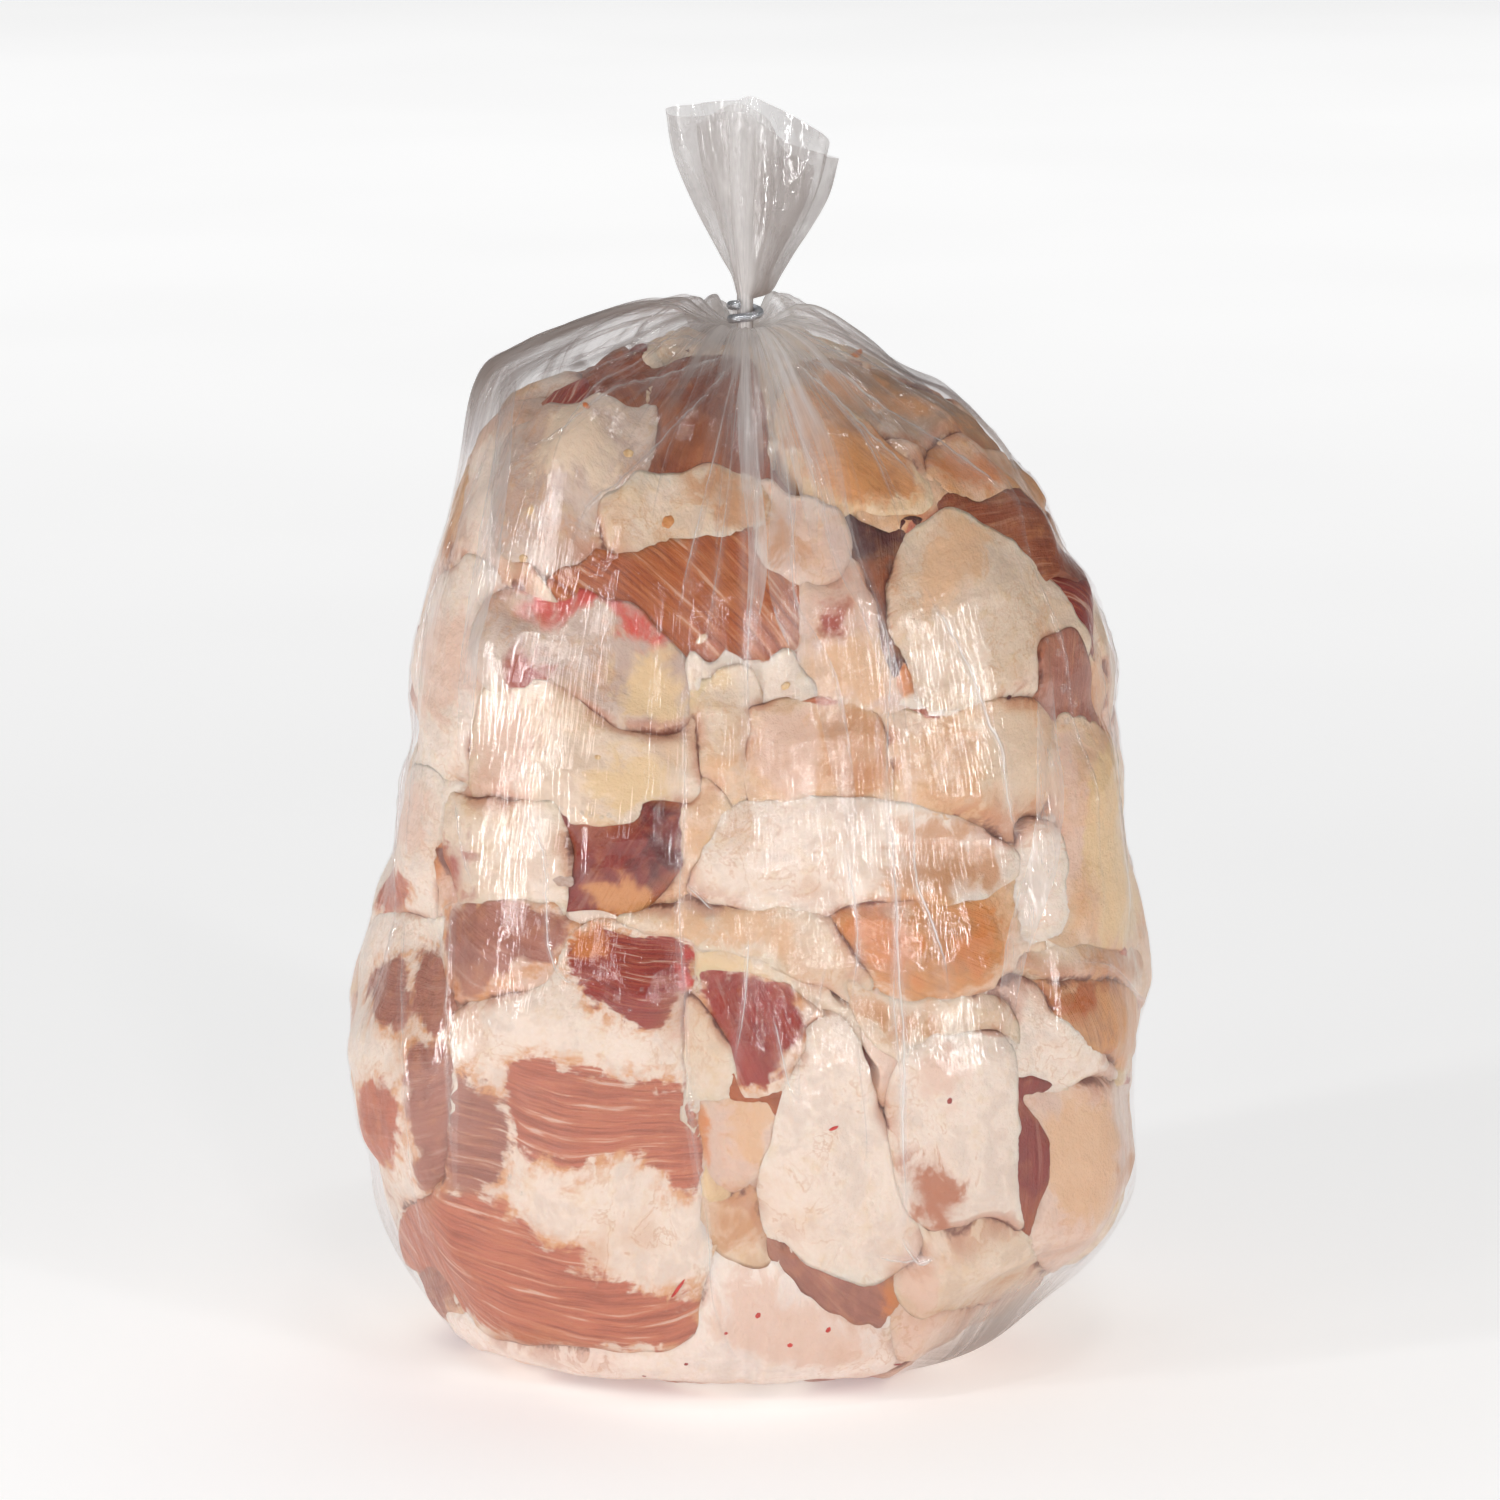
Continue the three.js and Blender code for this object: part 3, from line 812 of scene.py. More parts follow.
FRONT_CUTS = {
    "top_right_fat": cut(
        "shade", ((8, 252), (16, 259), (30, 257), (44, 251), (56, 245), (66, 239), (72, 232), (60, 233),
            (48, 238), (38, 240), (28, 246), (16, 251)),
        stains=[("tan", ((20, 256), (40, 250), (56, 242), (42, 242), (26, 250)))]),
    "top_left_lean": cut(
        "tan", ((-43, 255), (-40, 259), (-27, 261), (-15, 261), (-7, 259), (-12, 255), (-22, 252),
            (-35, 250)),
        lean=[("brown", None)], grain=10),
    "left_shoulder_fat": cut(
        "blush", ((-76, 208), (-73, 222), (-69, 236), (-62, 246), (-52, 251), (-54, 242), (-60, 232),
            (-60, 216), (-62, 205), (-70, 202)),
        stains=[("white", ((-70, 230), (-62, 240), (-58, 236), (-62, 212), (-70, 212)))]),
    "lean_below_clip": cut(
        "tan", ((-27, 249), (-22, 256), (-12, 259), (-1, 260), (3, 249), (4, 238), (1, 230), (-12, 230),
            (-24, 231), (-27, 238)),
        lean=[("brown", None)], grain=80),
    "tan_beside_clip": cut(
        "butter", ((7, 240), (8, 249), (20, 251), (30, 243), (38, 236), (46, 228), (43, 221), (32, 221),
            (22, 223), (12, 230)),
        lean=[("ochre", ((8, 246), (20, 249), (32, 240), (42, 228), (36, 223), (22, 226), (11, 236)))],
        grain=-50),
    "right_shoulder": cut(
        "ochre", ((44, 231), (47, 239), (60, 237), (71, 233), (76, 226), (72, 221), (60, 222), (50, 226)),
        stains=[("amber", ((46, 233), (56, 236), (62, 230), (52, 227)))]),
    "shoulder_strip": cut(
        "tan", ((48, 222), (60, 224), (74, 221), (81, 213), (87, 203), (80, 205), (67, 211), (57, 216)),
        lean=[("brown", None)], grain=-30, line=1.2),
    "upper_left_slab": cut(
        "veil", ((-63, 238), (-57, 243), (-46, 248), (-33, 250), (-24, 249), (-23, 240), (-26, 229),
            (-33, 224), (-36, 216), (-39, 210), (-48, 208), (-58, 208), (-64, 213), (-65, 225)),
        stains=[("cream", ((-50, 244), (-36, 246), (-32, 234), (-44, 228), (-54, 233)))], lumps=0.9),
    "dark_strip": cut(
        "tan", ((22, 215), (32, 216), (41, 213), (41, 200), (40, 188), (36, 184), (32, 188), (28, 199),
            (23, 208)),
        lean=[("umber", None)], grain=85, line=1.3),
    "pink_flank": cut(
        "blush", ((17, 202), (25, 206), (30, 203), (34, 189), (38, 177), (36, 170), (27, 171), (17, 173),
            (11, 176), (12, 188), (14, 197)),
        stains=[("rose", ((18, 199), (23, 203), (27, 199), (25, 191), (20, 189))),
                ("peach", ((14, 186), (32, 186), (36, 173), (14, 174)))]),
    "upper_right_slab": cut(
        "cream", ((38, 213), (44, 218), (52, 221), (62, 216), (72, 209), (80, 201), (84, 188), (79, 177),
            (72, 171), (52, 170), (43, 172), (38, 184), (35, 199)),
        stains=[("peach", ((44, 200), (50, 216), (60, 214), (52, 196)))], rounding=1.5, lumps=0.8),
    "fibrous_lean": cut(
        "tan", ((-48, 204), (-37, 212), (-25, 213), (-12, 217), (0, 219), (10, 216), (14, 208), (14, 193),
            (12, 185), (5, 183), (0, 182), (-10, 182), (-17, 182), (-25, 186), (-28, 192), (-37, 197)),
        lean=[("copper", None)], grain=-32, lumps=0.8, line=1.3, fibres=0.9),
    "slab_right_of_white": cut(
        "blush", ((2, 223), (12, 224), (20, 222), (25, 216), (25, 208), (20, 203), (12, 204), (4, 208),
            (0, 216)),
        stains=[("tan", ((3, 220), (10, 221), (12, 210), (5, 210)))]),
    "white_slab": cut(
        "cream", ((-32, 228), (-25, 231), (-15, 232), (0, 232), (5, 227), (5, 220), (0, 216), (-12, 215),
            (-22, 213), (-28, 210), (-35, 211), (-38, 215), (-38, 220), (-36, 225)),
        stains=[("tan", ((-12, 230), (3, 229), (3, 219), (-6, 219), (-12, 222)))], rounding=1.5, line=1.1),
    "left_edge_fat": cut(
        "white", ((-85, 193), (-81, 201), (-75, 208), (-68, 210), (-64, 203), (-64, 188), (-66, 173),
            (-67, 158), (-75, 154), (-89, 154), (-91, 168), (-89, 181)),
        stains=[("blush", ((-82, 190), (-72, 194), (-70, 176), (-80, 170)))], line=0.4),
    "strip_under_lean": cut(
        "white", ((-15, 182), (0, 183), (10, 186), (14, 179), (12, 173), (2, 172), (-3, 173), (-8, 178)),
        line=1.2),
    "small_centre_fat": cut(
        "cream", ((-16, 168), (-13, 176), (-9, 179), (-2, 182), (2, 176), (1, 163), (0, 154), (-6, 147),
            (-15, 147), (-17, 158)),
        stains=[("butter", ((-16, 183), (-10, 182), (-9, 176), (-15, 175))),
                ("peach", ((-8, 156), (1, 158), (0, 148), (-12, 147)))], line=0.8),
    "peach_wedge": cut(
        "peach", ((-21, 151), (-8, 151), (-8, 140), (-12, 132), (-14, 122), (-24, 121), (-22, 136)),
        line=0.8),
    "dark_red_lean": cut(
        "tan", ((-49, 145), (-37, 144), (-27, 149), (-20, 149), (-18, 141), (-18, 131), (-23, 125),
            (-29, 121), (-36, 120), (-46, 122), (-50, 127), (-48, 136)),
        lean=[("wine", None)],
        stains=[("burgundy", ((-28, 148), (-20, 148), (-18, 138), (-21, 129), (-27, 129), (-25, 138))),
                ("ochre", ((-40, 127), (-28, 126), (-27, 121), (-38, 120)))], grain=60),
    "wide_left_fat": cut(
        "cream", ((-70, 168), (-67, 174), (-60, 176), (-50, 179), (-37, 172), (-22, 168), (-15, 170),
            (-13, 158), (-14, 148), (-25, 148), (-28, 143), (-37, 142), (-45, 143), (-55, 147), (-69, 148),
            (-72, 158)),
        stains=[("blush", ((-68, 170), (-58, 172), (-56, 150), (-69, 150))),
                ("butter", ((-40, 156), (-24, 160), (-22, 150), (-36, 146)))], lumps=0.9, line=0.7),
    "left_lobes": cut(
        "veil", ((-70, 188), (-67, 199), (-57, 205), (-47, 203), (-37, 199), (-27, 195), (-21, 189),
            (-16, 184), (-14, 176), (-17, 168), (-25, 166), (-35, 168), (-45, 175), (-53, 178), (-63, 176),
            (-69, 179)),
        stains=[("butter", ((-30, 187), (-20, 186), (-16, 176), (-20, 168), (-29, 170), (-33, 180))),
                ("blood", ((-57, 207), (-47, 208), (-39, 203), (-44, 198), (-55, 200))),
                ("blood", ((-32, 196), (-24, 195), (-21, 189), (-28, 186))),
                ("rose", ((-60, 180), (-52, 182), (-50, 178), (-57, 176)))],
        rounding=1.5, lumps=1.4, line=0.9),
    "left_middle_fat": cut(
        "cream", ((-78, 148), (-69, 149), (-55, 148), (-49, 146), (-46, 138), (-46, 128), (-49, 122),
            (-62, 122), (-72, 122), (-78, 133), (-80, 143)),
        stains=[("rose", ((-79, 136), (-73, 136), (-72, 127), (-77, 126))),
                ("white", ((-58, 146), (-48, 144), (-47, 124), (-58, 124)))], rounding=1.3, line=1.1),
    "right_grey_lean": cut(
        "tan", ((74, 188), (81, 191), (86, 183), (88, 168), (84, 162), (77, 166), (74, 176)),
        lean=[("mauve", None)], grain=70),
    "peach_right": cut(
        "peach", ((32, 170), (45, 170), (52, 172), (74, 173), (76, 158), (76, 141), (62, 138), (52, 142),
            (45, 145), (35, 148), (33, 158)),
        stains=[("cream", ((58, 170), (72, 170), (72, 146), (60, 148)))], lumps=0.7, line=1.0),
    "peach_middle": cut(
        "peach", ((1, 172), (10, 174), (20, 174), (30, 171), (34, 166), (36, 151), (30, 147), (20, 148),
            (10, 148), (2, 149), (-1, 156), (0, 166)),
        stains=[("tan", ((20, 172), (33, 168), (34, 152), (22, 151))),
                ("blush", ((2, 170), (14, 172), (14, 152), (3, 152)))], rounding=0.8, line=1.0),
    "orange_lean": cut(
        "peach", ((15, 120), (25, 123), (35, 125), (45, 127), (57, 125), (65, 127), (69, 117), (71, 103),
            (63, 96), (50, 97), (37, 96), (30, 101), (24, 108), (17, 113)),
        lean=[("ochre", ((16, 117), (26, 121), (38, 121), (50, 124), (60, 121), (64, 110), (56, 101),
            (40, 99), (30, 104), (22, 110)))],
        stains=[("amber", ((26, 118), (36, 120), (44, 110), (36, 103), (28, 108))),
                ("amber", ((50, 116), (60, 118), (60, 106), (50, 106)))], grain=-25, lumps=0.7, line=0.4),
    "second_band": cut(
        "cream", ((-16, 112), (-2, 109), (10, 104), (20, 98), (26, 91), (17, 92), (10, 97), (0, 101),
            (-12, 103), (-17, 107)),
        stains=[("butter", ((-10, 109), (4, 105), (0, 102), (-12, 105)))], rounding=0.8, line=0.9),
    "first_band": cut(
        "cream", ((-31, 119), (-15, 123), (-2, 122), (12, 120), (20, 117), (26, 110), (29, 103), (17, 101),
            (7, 106), (-2, 109), (-15, 112), (-28, 113)),
        stains=[("peach", ((-20, 120), (10, 118), (10, 112), (-18, 115)))], rounding=0.8, line=1.0),
    "middle_white_slab": cut(
        "white", ((-1, 148), (12, 149), (25, 149), (34, 148), (45, 146), (59, 142), (66, 136), (64, 127),
            (52, 122), (42, 123), (34, 122), (25, 121), (20, 119), (10, 121), (-2, 121), (-12, 122),
            (-16, 126), (-13, 133), (-9, 141), (-6, 146)),
        stains=[("tan", ((40, 142), (58, 139), (64, 132), (56, 124), (40, 124), (36, 132))),
                ("ochre", ((36, 127), (50, 127), (48, 121), (36, 121)))], rounding=1.4, line=0.8),
    "right_strip": cut(
        "cream", ((69, 108), (77, 111), (87, 110), (97, 110), (99, 106), (96, 102), (82, 102), (72, 103)),
        stains=[("tan", ((86, 109), (98, 109), (97, 103), (88, 103)))], rounding=0.9, line=1.2),
    "right_low_lean": cut(
        "butter", ((71, 101), (85, 103), (95, 102), (98, 96), (97, 86), (92, 80), (85, 86), (77, 92),
            (73, 97)),
        lean=[("tan", ((73, 100), (85, 102), (93, 101), (94, 92), (90, 83), (84, 87), (77, 93)))],
        stains=[("copper", ((74, 101), (88, 102), (84, 96), (78, 96))),
                ("ochre", ((89, 102), (97, 100), (98, 86), (91, 83), (90, 92)))], grain=-60, line=1.0),
    "right_middle_fat": cut(
        "white", ((64, 101), (71, 103), (77, 95), (85, 88), (92, 82), (94, 78), (82, 75), (75, 73), (67, 73),
            (64, 83)), rounding=1.2, line=0.9),
    "right_edge_slab": cut(
        "peach", ((75, 163), (79, 170), (88, 167), (96, 158), (98, 138), (99, 123), (98, 113), (86, 111),
            (79, 113), (78, 126), (77, 138), (76, 151)),
        stains=[("butter", ((86, 160), (95, 152), (97, 118), (88, 116))),
                ("blush", ((77, 158), (82, 162), (83, 130), (79, 128)))], rounding=1.3, line=0.9),
    "right_edge_lobe": cut(
        "white", ((70, 142), (76, 143), (80, 136), (80, 126), (81, 118), (77, 113), (71, 112), (68, 117),
            (67, 128)), rounding=1.4),
    "left_flank_upper": cut(
        "white", ((-92, 157), (-80, 156), (-77, 148), (-79, 136), (-79, 124), (-84, 116), (-98, 118),
            (-97, 140)),
        lean=[("brick", ((-92, 131), (-88, 130), (-87, 120), (-91, 119)))],
        stains=[("blush", ((-90, 152), (-82, 152), (-82, 138), (-90, 138)))], line=0.5),
    "left_flank_lower": cut(
        "white", ((-101, 112), (-92, 120), (-80, 118), (-75, 108), (-74, 86), (-75, 62), (-77, 47),
            (-86, 42), (-97, 50), (-102, 76)),
        lean=[("mauve", ((-97, 101), (-92, 107), (-87, 108), (-86, 98), (-88, 91), (-93, 92))),
              ("mauve", ((-84, 109), (-78, 109), (-75, 99), (-77, 91), (-83, 91))),
              ("mauve", ((-86, 87), (-78, 87), (-74, 78), (-75, 60), (-77, 50), (-83, 52), (-84, 64),
            (-86, 76))),
              ("brick", ((-98, 73), (-94, 78), (-89, 73), (-89, 61), (-92, 56), (-97, 61)))],
        lumps=0.8, line=0.4),
    "left_lean_band": cut(
        "blush", ((-76, 122), (-62, 123), (-50, 122), (-46, 116), (-46, 108), (-51, 101), (-62, 97),
            (-72, 95), (-77, 103), (-78, 113)),
        lean=[("mauve", ((-75, 121), (-62, 122), (-50, 121), (-47, 114), (-52, 108), (-62, 106), (-70, 100),
            (-76, 104)))], grain=-20, line=0.9),
    "bottom_fat": cut(
        "chalk", ((-76, 19), (-57, 14), (-32, 12), (-15, 13), (-12, 24), (-8, 38), (3, 38), (12, 34),
            (26, 25), (34, 20), (41, 16), (42, 6), (34, 2), (12, 0), (-17, 0), (-37, 1), (-57, 6), (-72, 12)),
        stains=[("blush", ((0, 28), (16, 24), (30, 14), (20, 6), (-4, 10), (-8, 20)))],
        rounding=1.4, line=0.7),
    "low_left_belly": cut(
        "white", ((-48, 112), (-42, 117), (-35, 118), (-27, 115), (-15, 113), (-13, 106), (-15, 91),
            (-14, 83), (-13, 73), (-11, 61), (-11, 50), (-9, 41), (-10, 31), (-12, 21), (-15, 13), (-27, 10),
            (-47, 10), (-62, 13), (-73, 19), (-79, 26), (-87, 36), (-88, 46), (-79, 50), (-76, 58),
            (-76, 73), (-76, 86), (-75, 95), (-62, 99), (-52, 102)),
        lean=[("rose", ((-47, 110), (-42, 115), (-35, 116), (-27, 113), (-16, 111), (-15, 103), (-18, 97),
            (-22, 91), (-30, 92), (-38, 96), (-45, 103))),
              ("brick", ((-62, 80), (-52, 82), (-37, 79), (-22, 77), (-15, 74), (-12, 61), (-13, 50),
            (-19, 51), (-27, 57), (-37, 60), (-47, 58), (-55, 60), (-62, 69))),
              ("mauve", ((-76, 76), (-66, 76), (-61, 70), (-61, 58), (-64, 50), (-75, 50))),
              ("brick", ((-89, 48), (-77, 50), (-66, 50), (-62, 43), (-52, 36), (-37, 28), (-25, 25),
            (-15, 22), (-12, 17), (-16, 12), (-27, 11), (-47, 11), (-62, 14), (-73, 19), (-80, 26),
            (-89, 36)))],
        stains=[("amber", ((-47, 116), (-40, 117), (-36, 112), (-44, 108))),
                ("blood", ((-17, 108), (-15, 108), (-14, 92), (-16, 92)))],
        grain=-14, lumps=1.3, line=0.9, fibres=0.7),
    "fan_lean": cut(
        "white", ((-13, 105), (-2, 106), (7, 103), (13, 98), (16, 92), (13, 85), (10, 77), (3, 73), (-2, 73),
            (-5, 80), (-7, 88), (-12, 94)),
        lean=[("rose", ((-12, 104), (-2, 105), (7, 102), (12, 97), (14, 92), (10, 86), (6, 78), (0, 76),
            (-4, 82), (-6, 88), (-10, 94)))], grain=-62, lumps=0.8),
    "pale_strip": cut(
        "cream", ((-16, 99), (-11, 94), (-6, 87), (-4, 78), (-5, 70), (-12, 69), (-15, 78), (-16, 88)),
        rounding=0.8, line=0.5),
    "centre_knob": cut(
        "blush", ((-14, 71), (-7, 73), (-1, 73), (5, 71), (6, 63), (3, 53), (0, 48), (-4, 48), (-11, 51),
            (-13, 58)),
        stains=[("amber", ((-15, 69), (-9, 67), (-8, 54), (-13, 54))),
                ("peach", ((-4, 72), (4, 70), (3, 58), (-3, 58)))], rounding=1.2, lumps=0.8),
    "tan_pocket": cut(
        "peach", ((-12, 48), (-4, 48), (3, 48), (4, 36), (-2, 32), (-10, 37)),
        stains=[("tan", ((-10, 46), (2, 46), (2, 38), (-8, 38)))], line=1.2),
    "grey_end": cut(
        "cream", ((24, 103), (37, 98), (52, 98), (64, 98), (67, 89), (52, 87), (37, 85), (29, 90)),
        stains=[("tan", ((28, 100), (44, 96), (42, 90), (30, 92)))], line=0.5),
    "crease_lean": cut(
        "tan", ((64, 73), (74, 73), (76, 61), (75, 48), (71, 38), (65, 38), (64, 61)),
        lean=[("wine", None)], grain=85, line=1.4),
    "low_dark_lean": cut(
        "tan", ((8, 34), (22, 31), (35, 30), (41, 26), (39, 18), (30, 17), (21, 20), (13, 25)),
        lean=[("mauve", None)],
        stains=[("amber", ((34, 26), (39, 26), (39, 19), (34, 19)))], grain=-25, line=1.0),
    "low_right_fat": cut(
        "blush", ((36, 20), (52, 23), (70, 26), (76, 23), (68, 16), (54, 10), (40, 7), (35, 12)), line=0.4),
    "low_right_slab": cut(
        "cream", ((36, 28), (42, 38), (50, 40), (60, 43), (68, 41), (73, 34), (79, 29), (78, 23), (62, 21),
            (50, 19), (42, 18)),
        stains=[("blush", ((38, 30), (46, 32), (46, 22), (40, 22)))], rounding=1.2, line=0.7),
    "lower_right_fat": cut(
        "blush", ((69, 74), (78, 75), (90, 77), (99, 77), (101, 63), (99, 51), (92, 38), (83, 31), (76, 27),
            (71, 33), (71, 42), (74, 52), (75, 62), (71, 69)),
        stains=[("tan", ((87, 59), (96, 59), (96, 55), (88, 55))),
                ("peach", ((74, 70), (90, 70), (90, 46), (78, 46)))], rounding=1.4, lumps=1.1, line=0.9),
    "big_white_slab": cut(
        "white", ((14, 91), (21, 94), (27, 88), (31, 76), (35, 61), (39, 49), (43, 40), (42, 32), (32, 27),
            (20, 30), (10, 34), (3, 36), (1, 47), (5, 62), (9, 76), (13, 84)),
        rounding=1.6, lumps=0.7, line=0.9),
    "crisp_slab": cut(
        "white", ((38, 83), (45, 88), (52, 89), (62, 90), (66, 86), (67, 73), (68, 61), (69, 46), (68, 40),
            (60, 43), (50, 39), (42, 42), (38, 51), (36, 61), (35, 73)),
        stains=[("copper", ((38, 55), (45, 57), (54, 50), (52, 41), (42, 42))),
                ("blush", ((44, 84), (52, 85), (52, 76), (46, 76)))], rounding=0.8, line=0.9),
}

# Along the sides, back, top and base the trimmings lie in courses: height and how many lie round the bag.
COURSES = (
    (8, 10), (30, 12), (60, 13), (92, 13), (124, 13), (156, 12), (186, 11), (214, 10), (238, 9), (254, 7),
)
BASE_SPOTS = ((0, 0), (52, 0), (26, 32), (-26, 32), (-56, 0), (-26, -32), (26, -32))
HAND_PLACED_REACH = 58
TRIMMINGS = ("trimmings_front", "trimmings_lower", "trimmings_upper")

EDGE_STEP = 1.3 * MM
HUMP_SIZE, PIMPLE_SIZE = 15 * MM, 4 * MM
PIMPLE_HEIGHT = 0.14


def gaping_at(places):
    """How far the creases gape round about some places: from next to nothing, to wide open."""
    shut, open_wide, one_seed = 0.08, 2.4, 700
    return shut + open_wide * smoothstep(-0.7, 1.6, ripple(places - MIDDLE, HUMP_SIZE, one_seed)) ** 1.3


def openness_by(gaping, spots, loop):
    """How open the crease along a loop is. Level edges gape, and upright ones lie closer."""
    return gaping * (0.3 + 0.7 * edge_facing(spots, loop))


def crease_distance(inside, openness):
    """How far off the dark line of a crease a place seems to be; that line is partly painted shade. A closed
    edge has no line.
    """
    faded_by = 0.9 * MM * smoothstep(0.9, 0.25, openness)
    return (inside + faded_by) / openness


class Piece:
    """One trimming on its own flat map."""

    def __init__(self, chart, corners, fat, lean, stains, look, seed):
        self.chart = chart
        self.loop = smooth_loop(corners, EDGE_STEP)
        self.fat = fat
        self.lean = lean
        self.stains = stains
        self.look = look
        self.seed = seed
        self.radius = np.linalg.norm(self.loop, axis=1).max()
        self.centre = MIDDLE + chart.out * chart.span
        self.upper = []

    def inside_upper(self, places):
        """How far places are inside each piece that lies on this one, that piece, and their spots on it."""
        for upper in self.upper:
            spots = upper.chart.flat(places)
            yield inside_by(spots, upper.loop), upper, spots

    def tuck_under(self, skin, sizes):
        """Lets the outline run on under the pieces above, so that no gap opens beside them."""
        places = skin.under(MIDDLE + self.chart.ways(self.loop))
        covered = np.full(len(self.loop), -1.0)
        for inside, *_ in self.inside_upper(places):
            covered = np.maximum(covered, inside)
        beside, under = -3 * MM, -0.3 * MM
        grown = 0.3 * MM + sizes.tuck * smoothstep(beside, under, covered)
        for _ in range(3):
            grown = (np.roll(grown, 1) + 2 * grown + np.roll(grown, -1)) / 4
        grown += 0.45 * MM * ripple(self.loop, PIMPLE_SIZE, self.seed + 300)
        for share in (1, 0.6, 0.3, 0):
            moved = self.loop + loop_outward(self.loop) * share * grown[:, None]
            self.tucked = smooth_loop(moved[::2], EDGE_STEP)
            if not crosses_itself(self.tucked):
                return
        raise RuntimeError(f"the outline of piece {self.seed} crosses itself")

    def spots(self, spacing):
        """The points of the top face: the outline, lines beside it, and an even field inside."""
        loop = self.tucked
        inward = -loop_outward(loop)
        kept = [loop]
        for offset, every in ((0.9 * MM, 1), (2.0 * MM, 1), (3.4 * MM, 2)):
            line = (loop + inward * offset)[::every]
            kept.append(line[inside_by(line, loop) > 0.86 * offset])
        low, high = loop.min(axis=0), loop.max(axis=0)
        row_step = spacing * 0.866
        x, y = np.meshgrid(np.arange(low[0], high[0], spacing), np.arange(low[1], high[1], row_step))
        x[1::2] += spacing / 2
        field = np.column_stack([x.ravel(), y.ravel()])
        kept.append(field[inside_by(field, loop) > 4.6 * MM])
        return np.vstack(kept)

    def edges(self, spots, surface, sizes):
        """How far each spot drops at this piece's edge, how far it dips under others, and off a crease."""
        inside = inside_by(spots, self.tucked)
        inside[:len(self.tucked)] = 0
        rounding = self.look["rounding"]
        gaping = gaping_at(surface)
        openness = openness_by(gaping, spots, self.tucked)
        from_face = 1 - np.clip(inside / (rounding * sizes.edge_width * (0.7 + 0.4 * openness)), 0, 1)
        drop = openness * rounding * sizes.edge_depth * (1 - np.sqrt(1 - from_face**2))
        sag, sag_width = 0.3 * MM, 12 * MM
        drop += sag * np.clip(1 - inside / sag_width, 0, 1) ** 2
        step_down, deep_down = 0.45 * MM, 6 * MM
        dip, crease = np.zeros(len(spots)), crease_distance(inside, openness)
        for covered, upper, upper_spots in self.inside_upper(surface):
            openness = openness_by(gaping, upper_spots, upper.loop)
            depth = openness * upper.look["rounding"] * sizes.edge_depth + step_down
            under = depth * smoothstep(-3.5 * MM, 1.0 * MM, covered)
            under += deep_down * smoothstep(0.5 * MM, 5 * MM, covered)
            dip = np.maximum(dip, under)
            crease = np.minimum(crease, crease_distance(np.maximum(-covered, 0), openness))
        return drop, dip, crease

    def mesh(self, skin, sizes, spacing):
        """Places, faces and what the material reads, for this piece alone."""
        spots = self.spots(spacing)
        total, edge_count = len(spots), len(self.tucked)
        place_count, top_faces = fill(spots, edge_count)
        if place_count != total:
            raise RuntimeError(f"two points of piece {self.seed} fall together")
        ways = self.chart.ways(spots)
        surface = skin.under(MIDDLE + ways)
        drop, dip, crease = self.edges(spots, surface, sizes)
        lumps = self.look["lumps"] * (ripple(spots, HUMP_SIZE, self.seed) - 1)
        lumps += PIMPLE_HEIGHT * ripple(spots, PIMPLE_SIZE, self.seed + 500)
        reach = np.linalg.norm(surface - MIDDLE, axis=1) - drop - dip + lumps * MM
        top = MIDDLE + ways * reach[:, None]
        edge_ways, edge_reach = ways[:edge_count], reach[:edge_count, None]
        side_depth = 0.35 * sizes.thickness
        side = MIDDLE + edge_ways * (edge_reach - side_depth)
        foot = MIDDLE + edge_ways * (edge_reach - sizes.thickness)

        here = np.arange(edge_count)
        ahead = (here + 1) % edge_count
        walls = [np.column_stack([ahead, here, total + here, total + ahead]),
                 np.column_stack([ahead, here, edge_count + here, edge_count + ahead]) + total]
        faces = [*top_faces, *np.vstack(walls).tolist()]
        faces.append(list(range(total + edge_count, total + 2 * edge_count))[::-1])

        lean_depth, lean_tone = self.patch(spots, self.lean)
        stain_depth, stain_tone = self.patch(spots, self.stains)
        carried = {
            "grain": self.grain(spots), "lean_depth": lean_depth, "stain_depth": stain_depth,
            "lean_tone": lean_tone, "stain_tone": stain_tone, "fat_tone": np.tile(self.fat, (total, 1)),
            "crease": crease / MM / self.look["line"], "fibres": np.full(total, self.look["fibres"])}
        around = np.concatenate([np.arange(total), here, here])
        return np.vstack([top, side, foot]), faces, {name: values[around] for name, values in carried.items()}

    def grain(self, spots):
        """Each spot in millimetres along and across the grain, and a number of the piece's own."""
        turn = math.radians(self.look["grain"])
        along, across = [math.cos(turn), math.sin(turn)], [-math.sin(turn), math.cos(turn)]
        own = np.full(len(spots), 37.0 * self.seed)
        return np.column_stack([spots @ along / MM, spots @ across / MM, own])

    @staticmethod
    def patch(spots, patches):
        """How deep each spot is in the nearest patch, in millimetres, and that patch's tone."""
        far_outside, deep_inside, no_patch = -50.0, 20.0, (0.5, 0.3, 0.2, 1.0)
        depth = np.full(len(spots), far_outside)
        colour = np.tile(no_patch, (len(spots), 1))
        for patch_tone, loop in patches:
            here = np.full(len(spots), deep_inside) if loop is None else inside_by(spots, loop) / MM
            deeper = here > depth
            depth[deeper] = here[deeper]
            colour[deeper] = patch_tone
        return depth, colour


